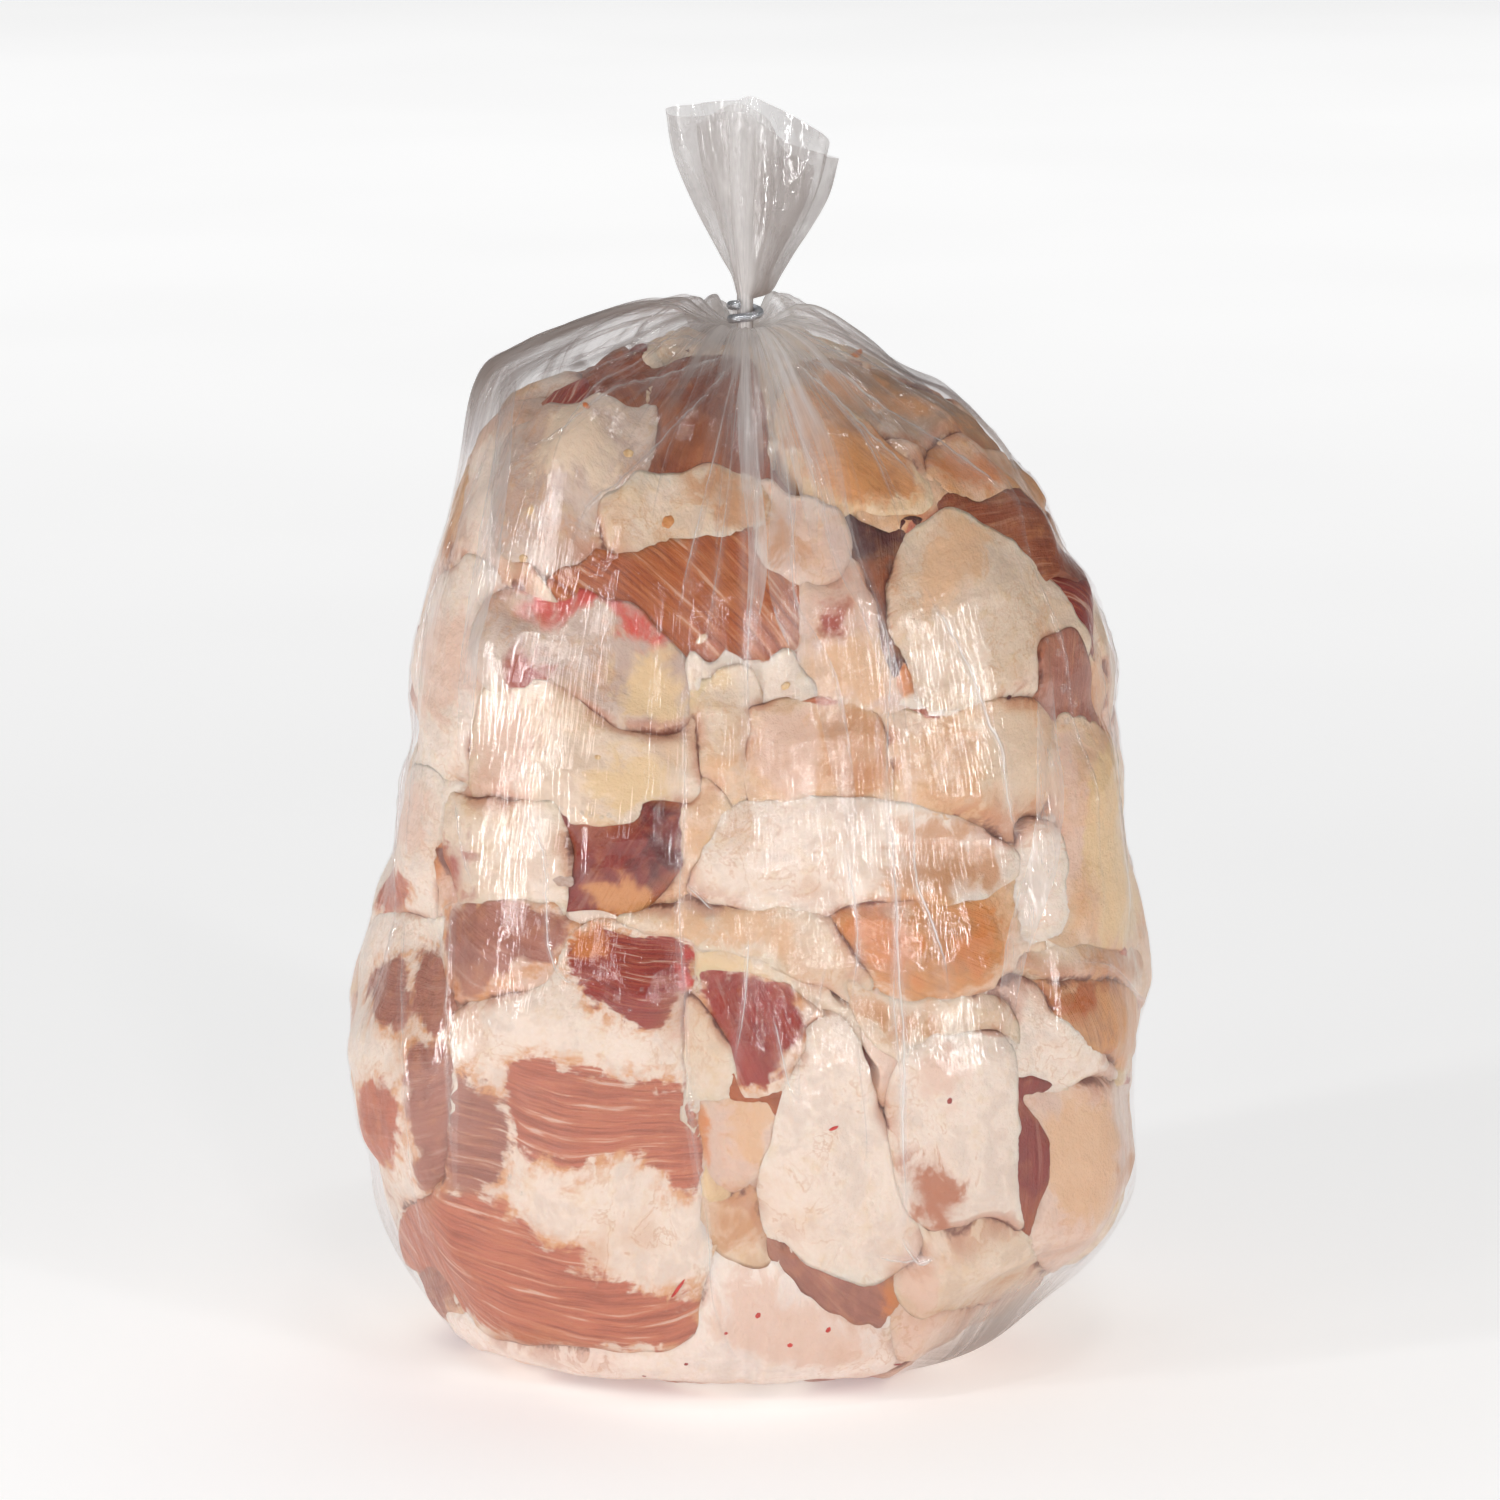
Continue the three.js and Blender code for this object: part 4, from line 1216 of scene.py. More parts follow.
def front_piece(row, seed, tones, skin):
    """A trimming whose outline is drawn in the front view."""
    chart = Chart(skin.under(VIEW.on_skin(row["outline"], skin).mean(axis=0)))

    def on_chart(outline):
        return chart.flat(VIEW.on_skin(outline, skin))

    def patches(rows):
        loops = [None if outline is None else smooth_loop(on_chart(outline), MM) for _, outline in rows]
        return [(tuple(getattr(tones, name)), loop) for (name, _), loop in zip(rows, loops)]

    fat = tuple(getattr(tones, row["fat"]))
    lean, stains = patches(row["lean"]), patches(row["stains"])
    return Piece(chart, on_chart(row["outline"]), fat, lean, stains, row, seed)


def uneven_outline(draw, half_width, half_height, tilt):
    """An uneven rounded outline about its own middle."""
    count = 14
    angle = np.arange(count) / count * TAU
    squareness = draw.uniform(2.4, 3.4)
    reach = (np.abs(np.cos(angle)) ** squareness + np.abs(np.sin(angle)) ** squareness) ** (-1 / squareness)
    for waves in (2, 3, 5):
        reach = reach * (1 + draw.uniform(0.03, 0.09) * np.sin(waves * angle + draw.uniform(0, TAU)))
    return turned(reach * np.cos(angle) * half_width, reach * np.sin(angle) * half_height, tilt) * MM


def loose_piece(draw, centre, seed, tones):
    """A trimming of a chance shape, with lean along one side of it or in a stripe."""
    half_width, half_height = draw.uniform(26, 38), draw.uniform(17, 25)
    tilt = draw.uniform(-38, 38)
    outline = uneven_outline(draw, half_width, half_height, tilt)
    fat_name = draw.choice(["cream", "white", "blush", "peach", "cream", "white"])
    lean_name = draw.choice(["copper", "rose", "brick", "mauve", "wine", "brick", "rose"])
    lean_tone = tuple(getattr(tones, lean_name))
    kind = draw.choice(["none", "side", "stripe", "whole"], p=[0.34, 0.36, 0.18, 0.12])
    turn = math.radians(tilt)
    up = np.array([-math.sin(turn), math.cos(turn)]) * MM
    lean = []
    if kind == "whole":
        lean = [(lean_tone, None)]
    elif kind != "none":
        offset = half_height * (0.85 if kind == "side" else draw.uniform(0, 0.3)) * draw.choice([-1, 1])
        height = half_height * (0.55 if kind == "side" else 0.28)
        band = uneven_outline(draw, half_width * draw.uniform(0.7, 1.15), height, tilt)
        lean = [(lean_tone, smooth_loop(band + up * offset, MM))]
    stain_name = draw.choice(["butter", "peach", "tan", "amber", "blush"])
    blot = uneven_outline(draw, draw.uniform(4, 12), draw.uniform(3, 8), tilt)
    blot = blot + draw.uniform(-0.6, 0.6, 2) * [half_width * MM, half_height * MM]
    stains = [(tuple(getattr(tones, stain_name)), smooth_loop(blot, MM))]
    look = {"rounding": draw.uniform(0.8, 1.7), "lumps": draw.uniform(0.5, 1.3),
            "grain": tilt + draw.uniform(-15, 15), "line": draw.uniform(0.4, 1.2),
            "fibres": draw.choice([0.1, 0.3, 0.8])}
    return Piece(Chart(centre), outline, tuple(getattr(tones, fat_name)), lean, stains, look, seed)


def course_centres(draw, skin):
    """Where the loose trimmings lie: in courses round the bag, and on its base."""
    centres = []
    for course, (height, count) in enumerate(COURSES):
        for place in range(count):
            turn = (place + 0.5 * (course % 2) + draw.uniform(-0.18, 0.18)) * 360 / count
            centres.append(skin.at(turn, height + draw.uniform(-5, 5)))
    return centres + [skin.under(np.array([x, y, 0]) * MM) for x, y in BASE_SPOTS]


def has_room(piece, fronts):
    """Whether a loose trimming lies clear of the place that the front ones fill."""
    covered = max(inside_by(front.chart.flat(piece.centre[None]), front.loop)[0] for front in fronts)
    across = VIEW.spots_of(piece.centre[None])[0][0]
    return covered < 2 * MM or abs(across) > HAND_PLACED_REACH


def all_pieces(settings):
    """The trimmings of the courses and those of the front, each knowing the pieces that lie on it."""
    skin, tones = contents_skin(), settings.tones
    fronts = [front_piece(row, 200 + place, tones, skin) for place, row in enumerate(FRONT_CUTS.values())]
    draw = np.random.default_rng(4)
    centres = course_centres(draw, skin)
    order = enumerate(draw.permutation(len(centres)))
    loose = [loose_piece(draw, centres[index], seed, tones) for seed, index in order]
    loose = [piece for piece in loose if has_room(piece, fronts)]
    pieces = loose + fronts
    for place, piece in enumerate(pieces):
        for other in pieces[place + 1:]:
            if np.linalg.norm(other.centre - piece.centre) < piece.radius + other.radius + 10 * MM:
                piece.upper.append(other)
    for piece in pieces:
        piece.tuck_under(skin, settings.sizes)
    return loose, fronts


class TrimmingsOperator(bpy.types.Operator):
    """Lay the trimmings of fat and lean over a dark core"""
    bl_idname = "bagged_fat.lay_trimmings"
    bl_label = "Lay the trimmings"

    def execute(self, context):
        settings = context.scene.bagged_fat
        skin = contents_skin()
        loose, fronts = all_pieces(settings)
        material = trimming_material(settings.tones)
        lower = [piece for piece in loose if piece.centre[2] < MIDDLE[2]]
        upper = [piece for piece in loose if piece.centre[2] >= MIDDLE[2]]
        fine, coarse = 1.5 * MM, 2.4 * MM
        for name, pieces, spacing in zip(TRIMMINGS, (fronts, lower, upper), (fine, coarse, coarse)):
            batch = Batch()
            for piece in pieces:
                batch.add(*piece.mesh(skin, settings.sizes, spacing))
            batch.piece(name, material, "fat", "bag")
        self.lay_core(settings, skin)
        return {"FINISHED"}

    def lay_core(self, settings, skin):
        rows, columns = 90, 160
        rise = (STEEPEST + (math.pi - STEEPEST) * (np.arange(rows) + 0.5) / rows)[:, None]
        ways = way(rise, TAU * np.arange(columns) / columns).reshape(-1, 3)
        uneven = 1.2 * MM * ripple(ways * 110, 14, 7)
        reach = skin.reach(ways) - settings.sizes.core_depth + uneven
        faces = ring_faces(rows, columns)[:, ::-1].tolist()
        faces.append(list(range(columns)))
        faces.append(list(range((rows - 1) * columns, rows * columns))[::-1])
        new_piece("core", MIDDLE + ways * reach[:, None], faces, core_material(settings.tones), "lean", "bag")


# Film

# Milky zones of the film: degrees round, height, radius in millimetres and how milky.
HAZY_ZONES = (
    (-88, 248, 32, 0.36), (-112, 250, 40, 0.3), (4, 256, 24, 0.5), (14, 238, 22, 0.3), (-82, 205, 26, 0.24),
    (-88, 165, 24, 0.2), (-86, 118, 22, 0.16), (-88, 80, 20, 0.14), (-84, 30, 26, 0.26), (110, 240, 36, 0.14),
    (60, 10, 30, 0.9), (88, 30, 26, 0.22), (180, 250, 50, 0.24), (0, 6, 30, 0.1), (-150, 120, 40, 0.08),
    (150, 90, 40, 0.08),
)

# Folds of the front film: points in the front view, width and height against the usual, and how milky, which
# also sets a painted highlight along the crest.
FRONT_FOLDS = (
    (((-2, 260), (-25, 252), (-37, 247), (-51, 238), (-60, 237)), 1.1, 1.6, 0.6),
    (((-1, 260), (-12, 248), (-22, 239), (-32, 228), (-40, 221), (-45, 209)), 0.9, 1.5, 0.6),
    (((-1, 261), (-6, 245), (-10, 230), (-13, 214), (-19, 188)), 0.7, 1.2, 0.55),
    (((0, 261), (-3, 245), (-5, 230), (-9, 200), (-12, 178)), 0.6, 1.1, 0.5),
    (((2, 261), (2, 240), (1, 218), (0, 196), (-1, 150)), 0.8, 1.2, 0.55),
    (((3, 261), (7, 240), (10, 218), (13, 190)), 0.6, 1.1, 0.5),
    (((4, 261), (12, 240), (18, 222), (23, 200)), 0.6, 1.1, 0.45),
    (((-3, 262), (-18, 262), (-34, 261), (-48, 258)), 0.8, 1.3, 0.5),
    (((-58, 262), (-62, 248), (-64, 228), (-65, 208), (-67, 188)), 1.8, 1.2, 0.5),
    (((-15, 188), (-17, 150), (-17, 98), (-15, 73), (-12, 48), (-9, 23), (-2, 6), (2, 2)), 1.0, 0.8, 0.3),
    (((6, 261), (20, 238), (25, 218), (30, 203), (34, 188), (35, 148), (37, 90), (39, 36)), 1.1, 1.2, 0.4),
    (((8, 260), (19, 250), (30, 238), (39, 230), (45, 223)), 1.2, 2.0, 0.85),
    (((9, 261), (22, 254), (30, 248), (45, 239), (59, 229), (69, 221)), 1.1, 1.8, 0.8),
    (((11, 262), (27, 258), (37, 254), (52, 246)), 0.8, 1.4, 0.6),
    (((43, 201), (53, 184), (60, 167), (63, 161), (65, 146), (69, 132)), 0.8, 1.5, 0.95),
    (((34, 148), (36, 130), (37, 118), (38, 83), (39, 53), (38, 39)), 0.8, 1.5, 0.9),
    (((38, 39), (42, 34), (46, 35)), 0.8, 1.5, 0.95),
    (((46, 34), (39, 33), (31, 34)), 0.7, 1.3, 0.95),
    (((39, 152), (41, 130), (45, 119), (48, 108), (49, 98)), 0.75, 1.5, 0.95),
    (((23, 136), (26, 121), (27, 110), (26, 97)), 0.6, 1.2, 0.85),
    (((0, 115), (-1, 98), (-4, 82)), 0.55, 1.3, 0.85),
    (((31, 170), (32, 157)), 0.6, 1.0, 0.2),
    (((-74, 148), (-72, 136), (-69, 126)), 0.8, 1.4, 0.3),
    (((-56, 146), (-52, 136), (-51, 119), (-49, 109), (-44, 103), (-37, 106)), 0.6, 1.4, 0.85),
    (((-16, 127), (-9, 120)), 0.6, 1.2, 0.8),
    (((5, 95), (9, 78), (12, 73)), 0.6, 1.1, 0.7),
    (((19, 109), (16, 98), (12, 88), (13, 66)), 0.6, 1.1, 0.2),
    (((26, 88), (29, 66), (29, 56)), 0.6, 1.1, 0.2),
    (((-86, 120), (-87, 90), (-85, 60), (-82, 40)), 1.4, 0.8, 0.3),
    (((-74, 128), (-75, 100), (-74, 76), (-74, 52)), 1.4, 0.9, 0.3),
    (((-80, 200), (-82, 180), (-84, 156), (-86, 132)), 1.4, 0.8, 0.25),
    (((84, 196), (88, 176), (92, 150), (95, 126)), 1.2, 0.9, 0.25),
    (((80, 108), (90, 106), (99, 98)), 0.8, 1.1, 0.3),
)

# Strips where the film lies double: points in the front view, width in millimetres and how milky.
FRONT_BANDS = (
    (((-1, 261), (0, 235), (1.5, 205), (-0.5, 180)), 4.5, 0.4),
    (((5, 260), (8.5, 248), (14.5, 227), (16, 209)), 4.0, 0.35),
    (((8, 258), (16, 235), (23.5, 208), (31, 191), (38, 163), (40, 146)), 4.0, 0.2),
    (((6, 250), (8, 225), (9, 197), (19, 175), (24.5, 150), (25, 132)), 6.0, 0.22),
    (((74, 186), (74, 141), (66, 108), (62, 85)), 7.0, 0.3),
    (((-60, 258), (-62, 237), (-65, 209), (-70, 186), (-72, 152)), 7.0, 0.35),
)
LOOSE_FOLDS = 34
NECK_LINES = 44


def film_columns(count):
    """Angles round the bag, closer together at the front."""
    closeness = 0.35
    share = np.arange(count) / count * 2 - 1
    return -math.pi / 2 + math.pi * share - closeness * np.sin(math.pi * share)


def pleats(angle, distance):
    """The gathers that run out from the clip, from 0 to 1, at an angle and a distance in millimetres."""
    wave = np.zeros_like(angle)
    for count, drift, share in ((15, 0.9, 0.4), (27, 1.7, 0.35), (47, 2.3, 0.25)):
        unevenness = 2.2 * np.sin(2 * angle + drift)
        bend = 0.35 * np.sin(distance / 31 + drift)
        wave += share * np.cos(count * angle + unevenness + bend)
    return 0.5 + 0.5 * np.clip(wave * 1.2, -1, 1)


def track_distance(spots, track):
    """How far flat spots are from a line, in its units."""
    line = even_steps(curve_through(track, False), 30)
    return off_edges(spots, line[:-1], np.diff(line, axis=0))


@cache
def draped_film():
    """The film's skin drawn over the trimmings, and how many millimetres behind it they lie."""
    slack = bpy.context.scene.bagged_fat.film.slack
    batch = [triangles(bpy.data.objects[name].data) for name in (*TRIMMINGS, "core")]
    firsts = np.cumsum([0] + [len(places) for places, _ in batch[:-1]])
    behind = cast(np.vstack([places for places, _ in batch]),
                  np.vstack([corners + first for (_, corners), first in zip(batch, firsts)]))
    skin = bag_skin()
    lift, rounds = 0.3 * MM, 36
    low = np.maximum(behind + lift, skin.reaches - slack + spread_out(SWELLS, skin) * MM)
    low[0] = skin.reaches[0]
    film = drop_under_clip(drape(low, low, rounds))
    return Skin(film), Skin((film - behind) / MM)


def film_carried(angle, along, haze, dull, reach=60):
    """What the film's material reads: how it lies round and along the bag, how milky it is, and its share of
    painted shade.
    """
    return {"lie": np.column_stack([reach * np.cos(angle), reach * np.sin(angle), along]),
            "haze": haze, "dull": dull}


def film_shade_at(places):
    """The share of painted shade that greys the film: over the shoulders, though not under the clip, and at
    the foot.
    """
    across, height = places[:, 0] / MM, places[:, 2] / MM
    clear_middle, clear_width = 8, 18
    under_clip = np.exp(-(((across - clear_middle) / clear_width) ** 2))
    shoulders, foot = smoothstep(170, 240, height), smoothstep(45, 8, height)
    return np.maximum(shoulders * (1 - 0.85 * under_clip), foot)


class FilmOperator(bpy.types.Operator):
    """Draw the clear film over the trimmings"""
    bl_idname = "bagged_fat.draw_film"
    bl_label = "Draw the film"

    def execute(self, context):
        settings = context.scene.bagged_fat.film
        film, gaps = draped_film()
        rows, columns = 216, 440
        crowding_at_neck, all_but_the_pole = 1.25, 0.9985
        share = (np.arange(rows) / (rows - 1)) ** crowding_at_neck
        rise = (STEEPEST + (math.pi - STEEPEST) * share * all_but_the_pole)[:, None]
        rise, angle = (grid.ravel() for grid in np.broadcast_arrays(rise, film_columns(columns)[None]))
        ways = way(rise, angle)
        places = MIDDLE + ways * film.reach(ways)[:, None]
        distance = np.hypot(places[:, 0] - NECK[0], places[:, 1] - NECK[1]) / MM
        along = distance + np.maximum(MIDDLE[2] - places[:, 2], 0) / MM
        fold = pleats(angle, along)
        height = np.minimum(settings.pleat_height, 0.1 * MM * np.maximum(distance - 2, 0))
        off_clip, off_floor = smoothstep(14, 80, distance), smoothstep(10, 60, places[:, 2] / MM)
        height = height * (1 - 0.85 * off_clip) * off_floor
        places = places + ways * (height * fold)[:, None]
        places[:, 2] = np.maximum(places[:, 2], 0)
        faces = ring_faces(rows, columns)[:, ::-1].tolist()
        faces.append(list(range((rows - 1) * columns, rows * columns))[::-1])
        piece = new_piece("film_bag", places, faces, film_material(), "film", "bag")
        haze = self.haze(settings, places, gaps.reach(ways), fold, distance, along)
        for name, values in film_carried(angle, along / 9, haze, film_shade_at(places)).items():
            carry(piece, name, values)
        return {"FINISHED"}

    def haze(self, settings, places, gap, fold, distance, along):
        """How milky the film is: over gaps, beside the clip, in the milky zones and along the folds."""
        haze = settings.haze + settings.loose_haze * smoothstep(6, 19, gap)
        near_clip, high = smoothstep(75, 5, along), smoothstep(215, 262, places[:, 2] / MM)
        haze += settings.neck_haze * (near_clip + 0.35 * high) * (0.1 + 2.2 * fold**4)
        haze += 0.45 * smoothstep(17, 5, distance)
        skin = bag_skin()
        for turn, height, radius, most in HAZY_ZONES:
            apart = np.linalg.norm(places - skin.at(turn, height), axis=1) / MM
            haze += most * smoothstep(radius, radius * 0.25, apart)
        near = np.nonzero(places[:, 1] < 0)[0]
        spots = VIEW.spots_of(places[near])
        most_haze, beside_fold = 0.8, 0.12
        for track, width, _, milky in FRONT_FOLDS:
            haze[near] += beside_fold * milky * smoothstep(5 * width, 0.6, track_distance(spots, track))
        return np.clip(haze, 0, most_haze)


class FoldsOperator(bpy.types.Operator):
    """Press the crisp folds into the film"""
    bl_idname = "bagged_fat.fold_film"
    bl_label = "Fold the film"

    def execute(self, context):
        settings = context.scene.bagged_fat.film
        film, _ = draped_film()
        draw = np.random.default_rng(11)
        batch = Batch()
        for track, *look in FRONT_FOLDS:
            batch.add(*self.ribbon(film, self.drawn_line(track, film), settings, *look, draw))
        for points in self.loose_lines(film, draw):
            look = draw.uniform(0.5, 1.3), draw.uniform(0.7, 1.4), draw.uniform(0.05, 0.3)
            batch.add(*self.ribbon(film, points, settings, *look, draw))
        for points in self.neck_lines(film, draw):
            look = draw.uniform(0.35, 0.7), draw.uniform(0.7, 1.3), draw.uniform(0.15, 0.5)
            batch.add(*self.ribbon(film, points, settings, *look, draw))
        for track, width, milky in FRONT_BANDS:
            look = width * MM / settings.fold_width, 0.15, milky
            batch.add(*self.ribbon(film, self.drawn_line(track, film), settings, *look, draw, True))
        batch.piece("film_folds", film_material(), "film", "bag")
        return {"FINISHED"}

    def drawn_line(self, track, film):
        """The points on the film along a line that is drawn in the front view."""
        return VIEW.on_skin(even_steps(curve_through(track, False), 40), film)

    def loose_lines(self, film, draw):
        """Lines down the sides and back. Two in three of them start part way down."""
        first_turn, last_turn = 75, 290
        for place in range(LOOSE_FOLDS):
            turn = first_turn + (last_turn - first_turn) * (place + draw.uniform(0.1, 0.9)) / LOOSE_FOLDS
            top = draw.uniform(120, 258) if place % 3 else 258
            steps = np.linspace(0, 1, 14)
            turns = turn + draw.uniform(-16, 16) * steps + 3 * np.sin(steps * 5 + draw.uniform(0, TAU))
            yield film.at(turns, np.maximum(top - draw.uniform(40, 150) * steps, 6))

    def neck_lines(self, film, draw):
        """Short lines that run out from the clip all round."""
        for place in range(NECK_LINES):
            turn = TAU * (place + draw.uniform(0.2, 0.8)) / NECK_LINES
            rise = np.linspace(STEEPEST * 1.6, draw.uniform(0.25, 0.75), 16)
            yield film.under(MIDDLE + way(rise, turn + draw.uniform(-0.16, 0.16) * rise))

    def ribbon(self, film, points, settings, width, height, milky, draw, doubled=False):
        """A pinched ridge of film along a line of points, or a flat doubled strip, dying out at its ends."""
        ridge_step = 0.8
        length_all = np.linalg.norm(np.diff(points, axis=0), axis=1).sum() / MM
        count = max(8, round(length_all / ridge_step))
        line = film.under(even_steps(points, count))
        along = np.linspace(0, length_all, count)
        wander = 0.5 * MM * np.sin(along / draw.uniform(7, 15) + draw.uniform(0, TAU))
        sideways = unit(np.cross(unit(np.gradient(line, axis=0)), unit(line - MIDDLE)))
        line = line + sideways * wander[:, None]
        fade = smoothstep(0, 0.18, along / length_all) * smoothstep(1, 0.7, along / length_all)
        pulse = 0.65 + 0.25 * np.sin(along / draw.uniform(5, 12) + draw.uniform(0, TAU))
        pulse += 0.13 * np.sin(along / draw.uniform(0.7, 1.1) + draw.uniform(0, TAU))
        lean_over, ridge_width = draw.choice([-1, 1]) * 0.3, 0.34
        across = np.array([-1, -0.6, -0.25, 0, 0.2, 0.4, 0.65, 1.0])
        profile = np.exp(-((across - lean_over) / ridge_width) ** 2)
        half = 0.5 * width * settings.fold_width * (0.35 + 0.65 * fade)
        ways = unit(line[:, None] + sideways[:, None] * (half[:, None] * across)[..., None] - MIDDLE)
        off_film, off_floor = 0.04 * MM, 0.02 * MM
        lift = height * settings.fold_height * (fade * pulse)[:, None] * profile + off_film
        places = MIDDLE + ways * (film.reach(ways) + lift)[..., None]
        places[..., 2] = np.maximum(places[..., 2], off_floor)
        size = len(across)
        here = np.arange(size - 1)
        band = np.column_stack([here, here + 1, here + size + 1, here + size])
        faces = np.vstack([band + row * size for row in range(count - 1)])
        places = places.reshape(-1, 3)
        angle = np.arctan2(places[:, 1] - NECK[1], places[:, 0] - NECK[0])
        # A fold is milkiest along its crest: partly real milky film, and partly a painted highlight that
        # reads as a white line. A doubled strip is milkiest at its edges.
        milk_and_crest_highlight = 1 + 0.5 * np.abs(across)**8 if doubled else 0.15 + 0.85 * profile**3
        haze = (milky * fade[:, None] * milk_and_crest_highlight).ravel()
        return places, faces, film_carried(angle, np.repeat(along / 9, size), haze, 0.5 * film_shade_at(places))


# Crumbs that stick under the film: tone, place in the front view, length, width, tilt and thickness.
CRUMBS = (
    ("amber", (26.5, 260), 5.6, 1.7, -24, 0.5), ("amber", (-41, 247), 2.2, 1.1, 10, 0.4),
    ("butter", (-30.5, 235), 3.2, 2.2, 30, 0.9), ("butter", (-55, 221), 3.0, 2.6, 0, 0.8),
    ("ochre", (-20.5, 218), 4.2, 3.0, 60, 1.2), ("butter", (-57, 209), 2.4, 1.6, 20, 0.7),
    ("burgundy", (65, 174), 1.3, 0.9, 0, 0.4), ("butter", (9, 177), 2.2, 1.8, 0, 0.7),
    ("cream", (-12, 189), 3.4, 1.6, 40, 0.8), ("peach", (48, 238), 2.2, 1.4, -30, 0.6),
    ("veil", (-47, 128), 5.4, 3.4, 10, 0.5), ("butter", (-38, 159), 2.0, 1.5, 0, 0.6),
    ("blood", (2, 19.5), 1.4, 1.1, 20, 0.2), ("blood", (10, 12), 1.5, 1.2, 0, 0.2),
    ("blood", (19.5, 16), 1.4, 1.2, 40, 0.2), ("rose", (-16, 7), 1.2, 1.0, 0, 0.2),
    ("rose", (-26.5, 4), 1.2, 1.0, 10, 0.2), ("blood", (-18, 26), 4.2, 0.8, 38, 0.2),
    ("blood", (21, 66), 2.2, 0.7, 20, 0.2), ("rose", (37, 7), 2.6, 0.7, 5, 0.2),
    ("rose", (50, 73), 1.8, 1.2, 80, 0.2), ("blood", (-6, 15), 1.0, 0.7, 0, 0.2),
)

# Air bubbles under the film: places in the front view and sizes.
BUBBLES = (
    ((74, 188), 1.5), ((77, 185), 2.2), ((79, 180), 1.4), ((78, 176), 2.6), ((81, 172), 1.6),
    ((79, 168), 2.0), ((82, 164), 1.4), ((77, 161), 1.8), ((75, 157), 1.3), ((80, 158), 1.2),
    ((-47, 146), 1.6), ((-44.5, 145.6), 1.9), ((-42, 145), 1.4), ((-39.6, 144.6), 1.8), ((-37, 144), 1.3),
    ((-35, 144.4), 1.5), ((-21, 240), 1.4), ((-24, 236), 1.0), ((-18, 243), 1.2), ((70, 236), 1.3),
    ((72, 233), 1.6), ((68, 239), 1.1), ((-60, 54), 1.5), ((-57, 50), 1.1), ((-30, 96), 1.2),
    ((-33, 99), 1.6), ((-27, 101), 1.1),
)


class CrumbsOperator(bpy.types.Operator):
    """Stick small crumbs and air bubbles under the film"""
    bl_idname = "bagged_fat.scatter_crumbs"
    bl_label = "Scatter the crumbs"

    def execute(self, context):
        film, _ = draped_film()
        tones = context.scene.bagged_fat.tones
        crumbs, bubbles = Batch(), Batch()
        under_film, over_film = -0.14, 0.02
        centres = VIEW.on_skin([row[1] for row in CRUMBS], film)
        for (name, _, long, short, tilt, thickness), centre in zip(CRUMBS, centres):
            places, faces = self.cap(film, centre, (long, short), tilt, thickness, under_film - thickness)
            crumbs.add(places, faces, {"tone": np.tile(tuple(getattr(tones, name)), (len(places), 1))})
        crumbs.piece("crumbs", crumb_material(), "fat", "bag")
        centres = VIEW.on_skin([spot for spot, _ in BUBBLES], film)
        for (_, size), centre in zip(BUBBLES, centres):
            places, faces = self.cap(film, centre, (size, 0.8 * size), 30, 0.3 * size, over_film)
            haze, none = np.full(len(places), 0.12), np.zeros(len(places))
            bubbles.add(places, faces, film_carried(none, places[:, 2] / MM, haze, none))
        bubbles.piece("film_bubbles", film_material(), "film", "bag")
        return {"FINISHED"}

    def cap(self, film, centre, size, tilt, rise, foot):
        """A low uneven cap: how high it rises, and how high over the film its edge is."""
        rings, columns = 5, 18
        share = np.repeat(np.arange(1, rings + 1) / rings, columns)
        angle = np.tile(TAU * np.arange(columns) / columns, rings)
        reach = share * (1 + 0.1 * np.sin(2 * angle + tilt) + 0.07 * np.sin(5 * angle))
        x, y = reach * size[0] / 2 * np.cos(angle), reach * size[1] / 2 * np.sin(angle)
        spots = np.vstack([[0, 0], turned(x, y, tilt)]) * MM
        height = foot + rise * np.sqrt(1 - np.concatenate([[0], share]) ** 2)
        ways = Chart(centre).ways(spots)
        places = MIDDLE + ways * (film.reach(ways) + height * MM)[:, None]
        here = np.arange(columns)
        faces = np.column_stack([here * 0, here + 1, (here + 1) % columns + 1]).tolist()
        return places, faces + (ring_faces(rings, columns) + 1)[:, ::-1].tolist()


# Outlines of the tail over the clip, each point the reach and the height over the clip in millimetres.
TAIL_OUTLINES = {
    "left": ((2, 4), (3.4, 9), (6, 14), (11.5, 26), (16.5, 39), (18.5, 50)),
    "right": ((2, 3), (6.5, 4.6), (9.5, 9), (13, 14), (18, 21), (22.5, 29), (24.8, 38)),
    "front": ((2, 4), (3.6, 9), (6, 18), (9, 34), (11, 52)),
    "back": ((2, 4), (4, 9), (7, 18), (11, 34), (14, 54)),
}
TAIL_SQUARENESS = 2.3


